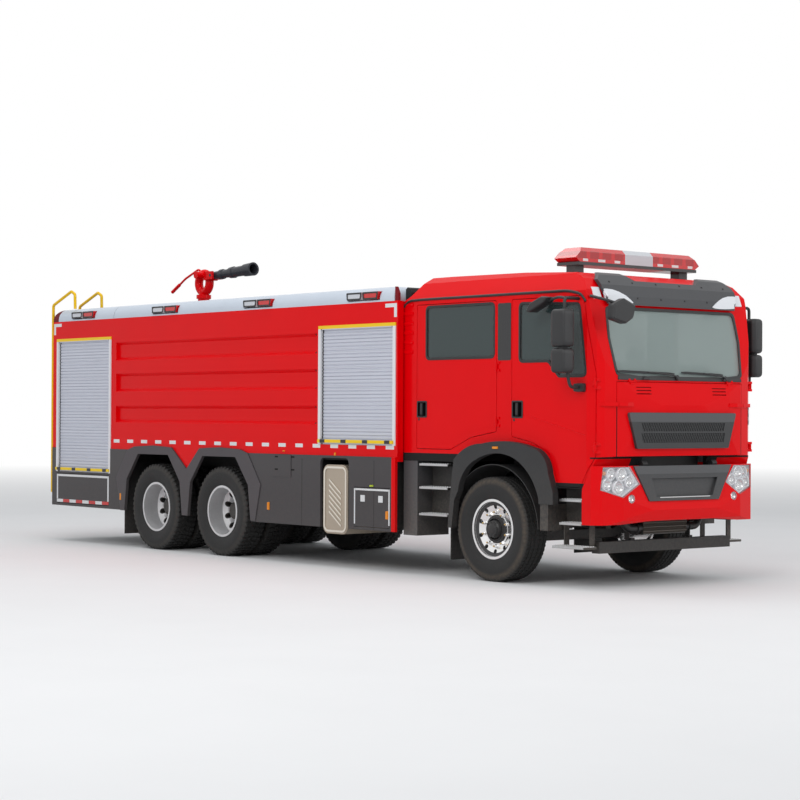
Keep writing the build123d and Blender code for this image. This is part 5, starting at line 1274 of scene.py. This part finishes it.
def tail_details():
    """Red reflectors and lamp bezels on the rear face."""
    reflectors, bezels = Form(), Form()
    for side in (-1, 1):
        reflectors.prism(disc(side * 0.93, 1.09, 0.035), "x", rear_face_x - 0.008, rear_face_x - 0.0003)
        lamp = oblong((1.022, 1.178), (0.692, 1.138))
        outer = rounded([(side * y, z) for y, z in widened(lamp, 0.012)], 0.015)
        inner = rounded([(side * y, z) for y, z in lamp], 0.006)
        bezels.rim(outer, inner, "x", rear_face_x - 0.012, rear_face_x - 0.0003)
    reflectors.piece("rear_reflectors", red_lens, bevel=0.001)
    bezels.piece("tail_lamp_bezels", black_plastic, bevel=0.002)


bpy.context.view_layer.update()
for make in (wheel_covers, window_seals, screen_seal, pillar_panels, door_handles, wiper_set, visor_lamps,
             grille_mesh, lamp_internals, tread_plates, reflective_marks, shutter_latches, side_markers,
             hazard_plate, intake_grid, dashboard, steering_wheel, seats, wheel_dressing, tail_details,
             door_mirrors, lid_gap, roof_lamp_frames):
    make()


# Floor, soft light and the photograph's camera
background_rays = ("Is Camera Ray", "Is Glossy Ray", "Is Transmission Ray")


def stage_floor():
    """A pale floor that turns into the white background far from the truck."""
    reach = 240
    mesh = bpy.data.meshes.new("studio_floor")
    mesh.from_pydata(laid(oblong((-reach, reach), (-reach, reach)), "z", 0), [], [(0, 1, 2, 3)])
    floor = linked("studio_floor", mesh)
    finish = Finish("pale_floor", (0.82, 0.82, 0.82), 0.9)
    finish.set(Base_Color=finish.mix(finish.noise(0.8, 4), (0.8, 0.8, 0.8), (0.84, 0.84, 0.84)))
    far = ((finish.x * finish.x + finish.y * finish.y) ** 0.5).ramp(15, 46)
    white = finish.node("ShaderNodeEmission", {}, {"Color": (1, 1, 1, 1), "Strength": 1})
    mixed = finish.blend(far * finish.rays(*background_rays), finish.shader.outputs[0], white.outputs[0])
    finish.feed(finish.output.inputs[0], mixed)
    floor.data.materials.append(finish.material)


class Surroundings(Finish):
    """The world's nodes, joined like a finish's."""

    def __init__(self, name):
        world = bpy.data.worlds.new(name)
        bpy.context.scene.world = world
        world.use_nodes = True
        self.tree = world.node_tree
        self.tree.nodes.clear()


def stage_world():
    """Soft light for the truck, plain white where the background itself is seen."""
    world = Surroundings("studio_world")
    soft = world.node("ShaderNodeBackground", {}, {"Color": (0.93, 0.96, 1, 1), "Strength": 0.55})
    white = world.node("ShaderNodeBackground", {}, {"Color": (1, 1, 1, 1), "Strength": 1})
    mixed = world.blend(world.rays(*background_rays), soft.outputs[0], white.outputs[0])
    world.node("ShaderNodeOutputWorld", {}, {"Surface": mixed})


def stage_lamp(name, place, target, size, power):
    """A soft rectangular lamp turned towards a target."""
    data = bpy.data.lights.new(name, "AREA")
    data.shape = "RECTANGLE"
    data.size, data.size_y = size
    data.energy = power
    away = Vector(place) - Vector(target)
    linked(name, data).matrix_world = (
        Matrix.Translation(place) @ away.to_track_quat("Z", "Y").to_matrix().to_4x4())


def stage_camera():
    """The photograph's camera, from its fitted angles, lens and place."""
    azimuth, pitch, roll = radians(50.034), radians(0.438), radians(0.284)
    view = Vector((-sin(azimuth) * cos(pitch), cos(azimuth) * cos(pitch), sin(pitch)))
    level = Vector((cos(azimuth), sin(azimuth), 0))
    up = level.cross(view)
    right = level * cos(roll) + up * sin(roll)
    tilted = up * cos(roll) - level * sin(roll)
    data = bpy.data.cameras.new("photo_camera")
    data.sensor_width, data.sensor_fit, data.lens = 36, "HORIZONTAL", 90.646
    data.clip_end = 300
    camera = linked("photo_camera", data)
    turn = Matrix((right, tilted, -view)).transposed().to_4x4()
    camera.matrix_world = Matrix.Translation((axle_x + 14.774, -14.737, 1.65)) @ turn
    bpy.context.scene.camera = camera


stage_floor()
stage_world()
stage_lamp("key_light", (9, -14, 11), (0, 0, 1.5), (9, 7), 900)
stage_lamp("front_light", (16, 3, 7), (4, 0, 1.5), (7, 6), 420)
stage_lamp("top_light", (-2, -2, 14), (-2, 0, 1.5), (14, 7), 600)
stage_camera()
bpy.context.scene.view_settings.view_transform = "Standard"
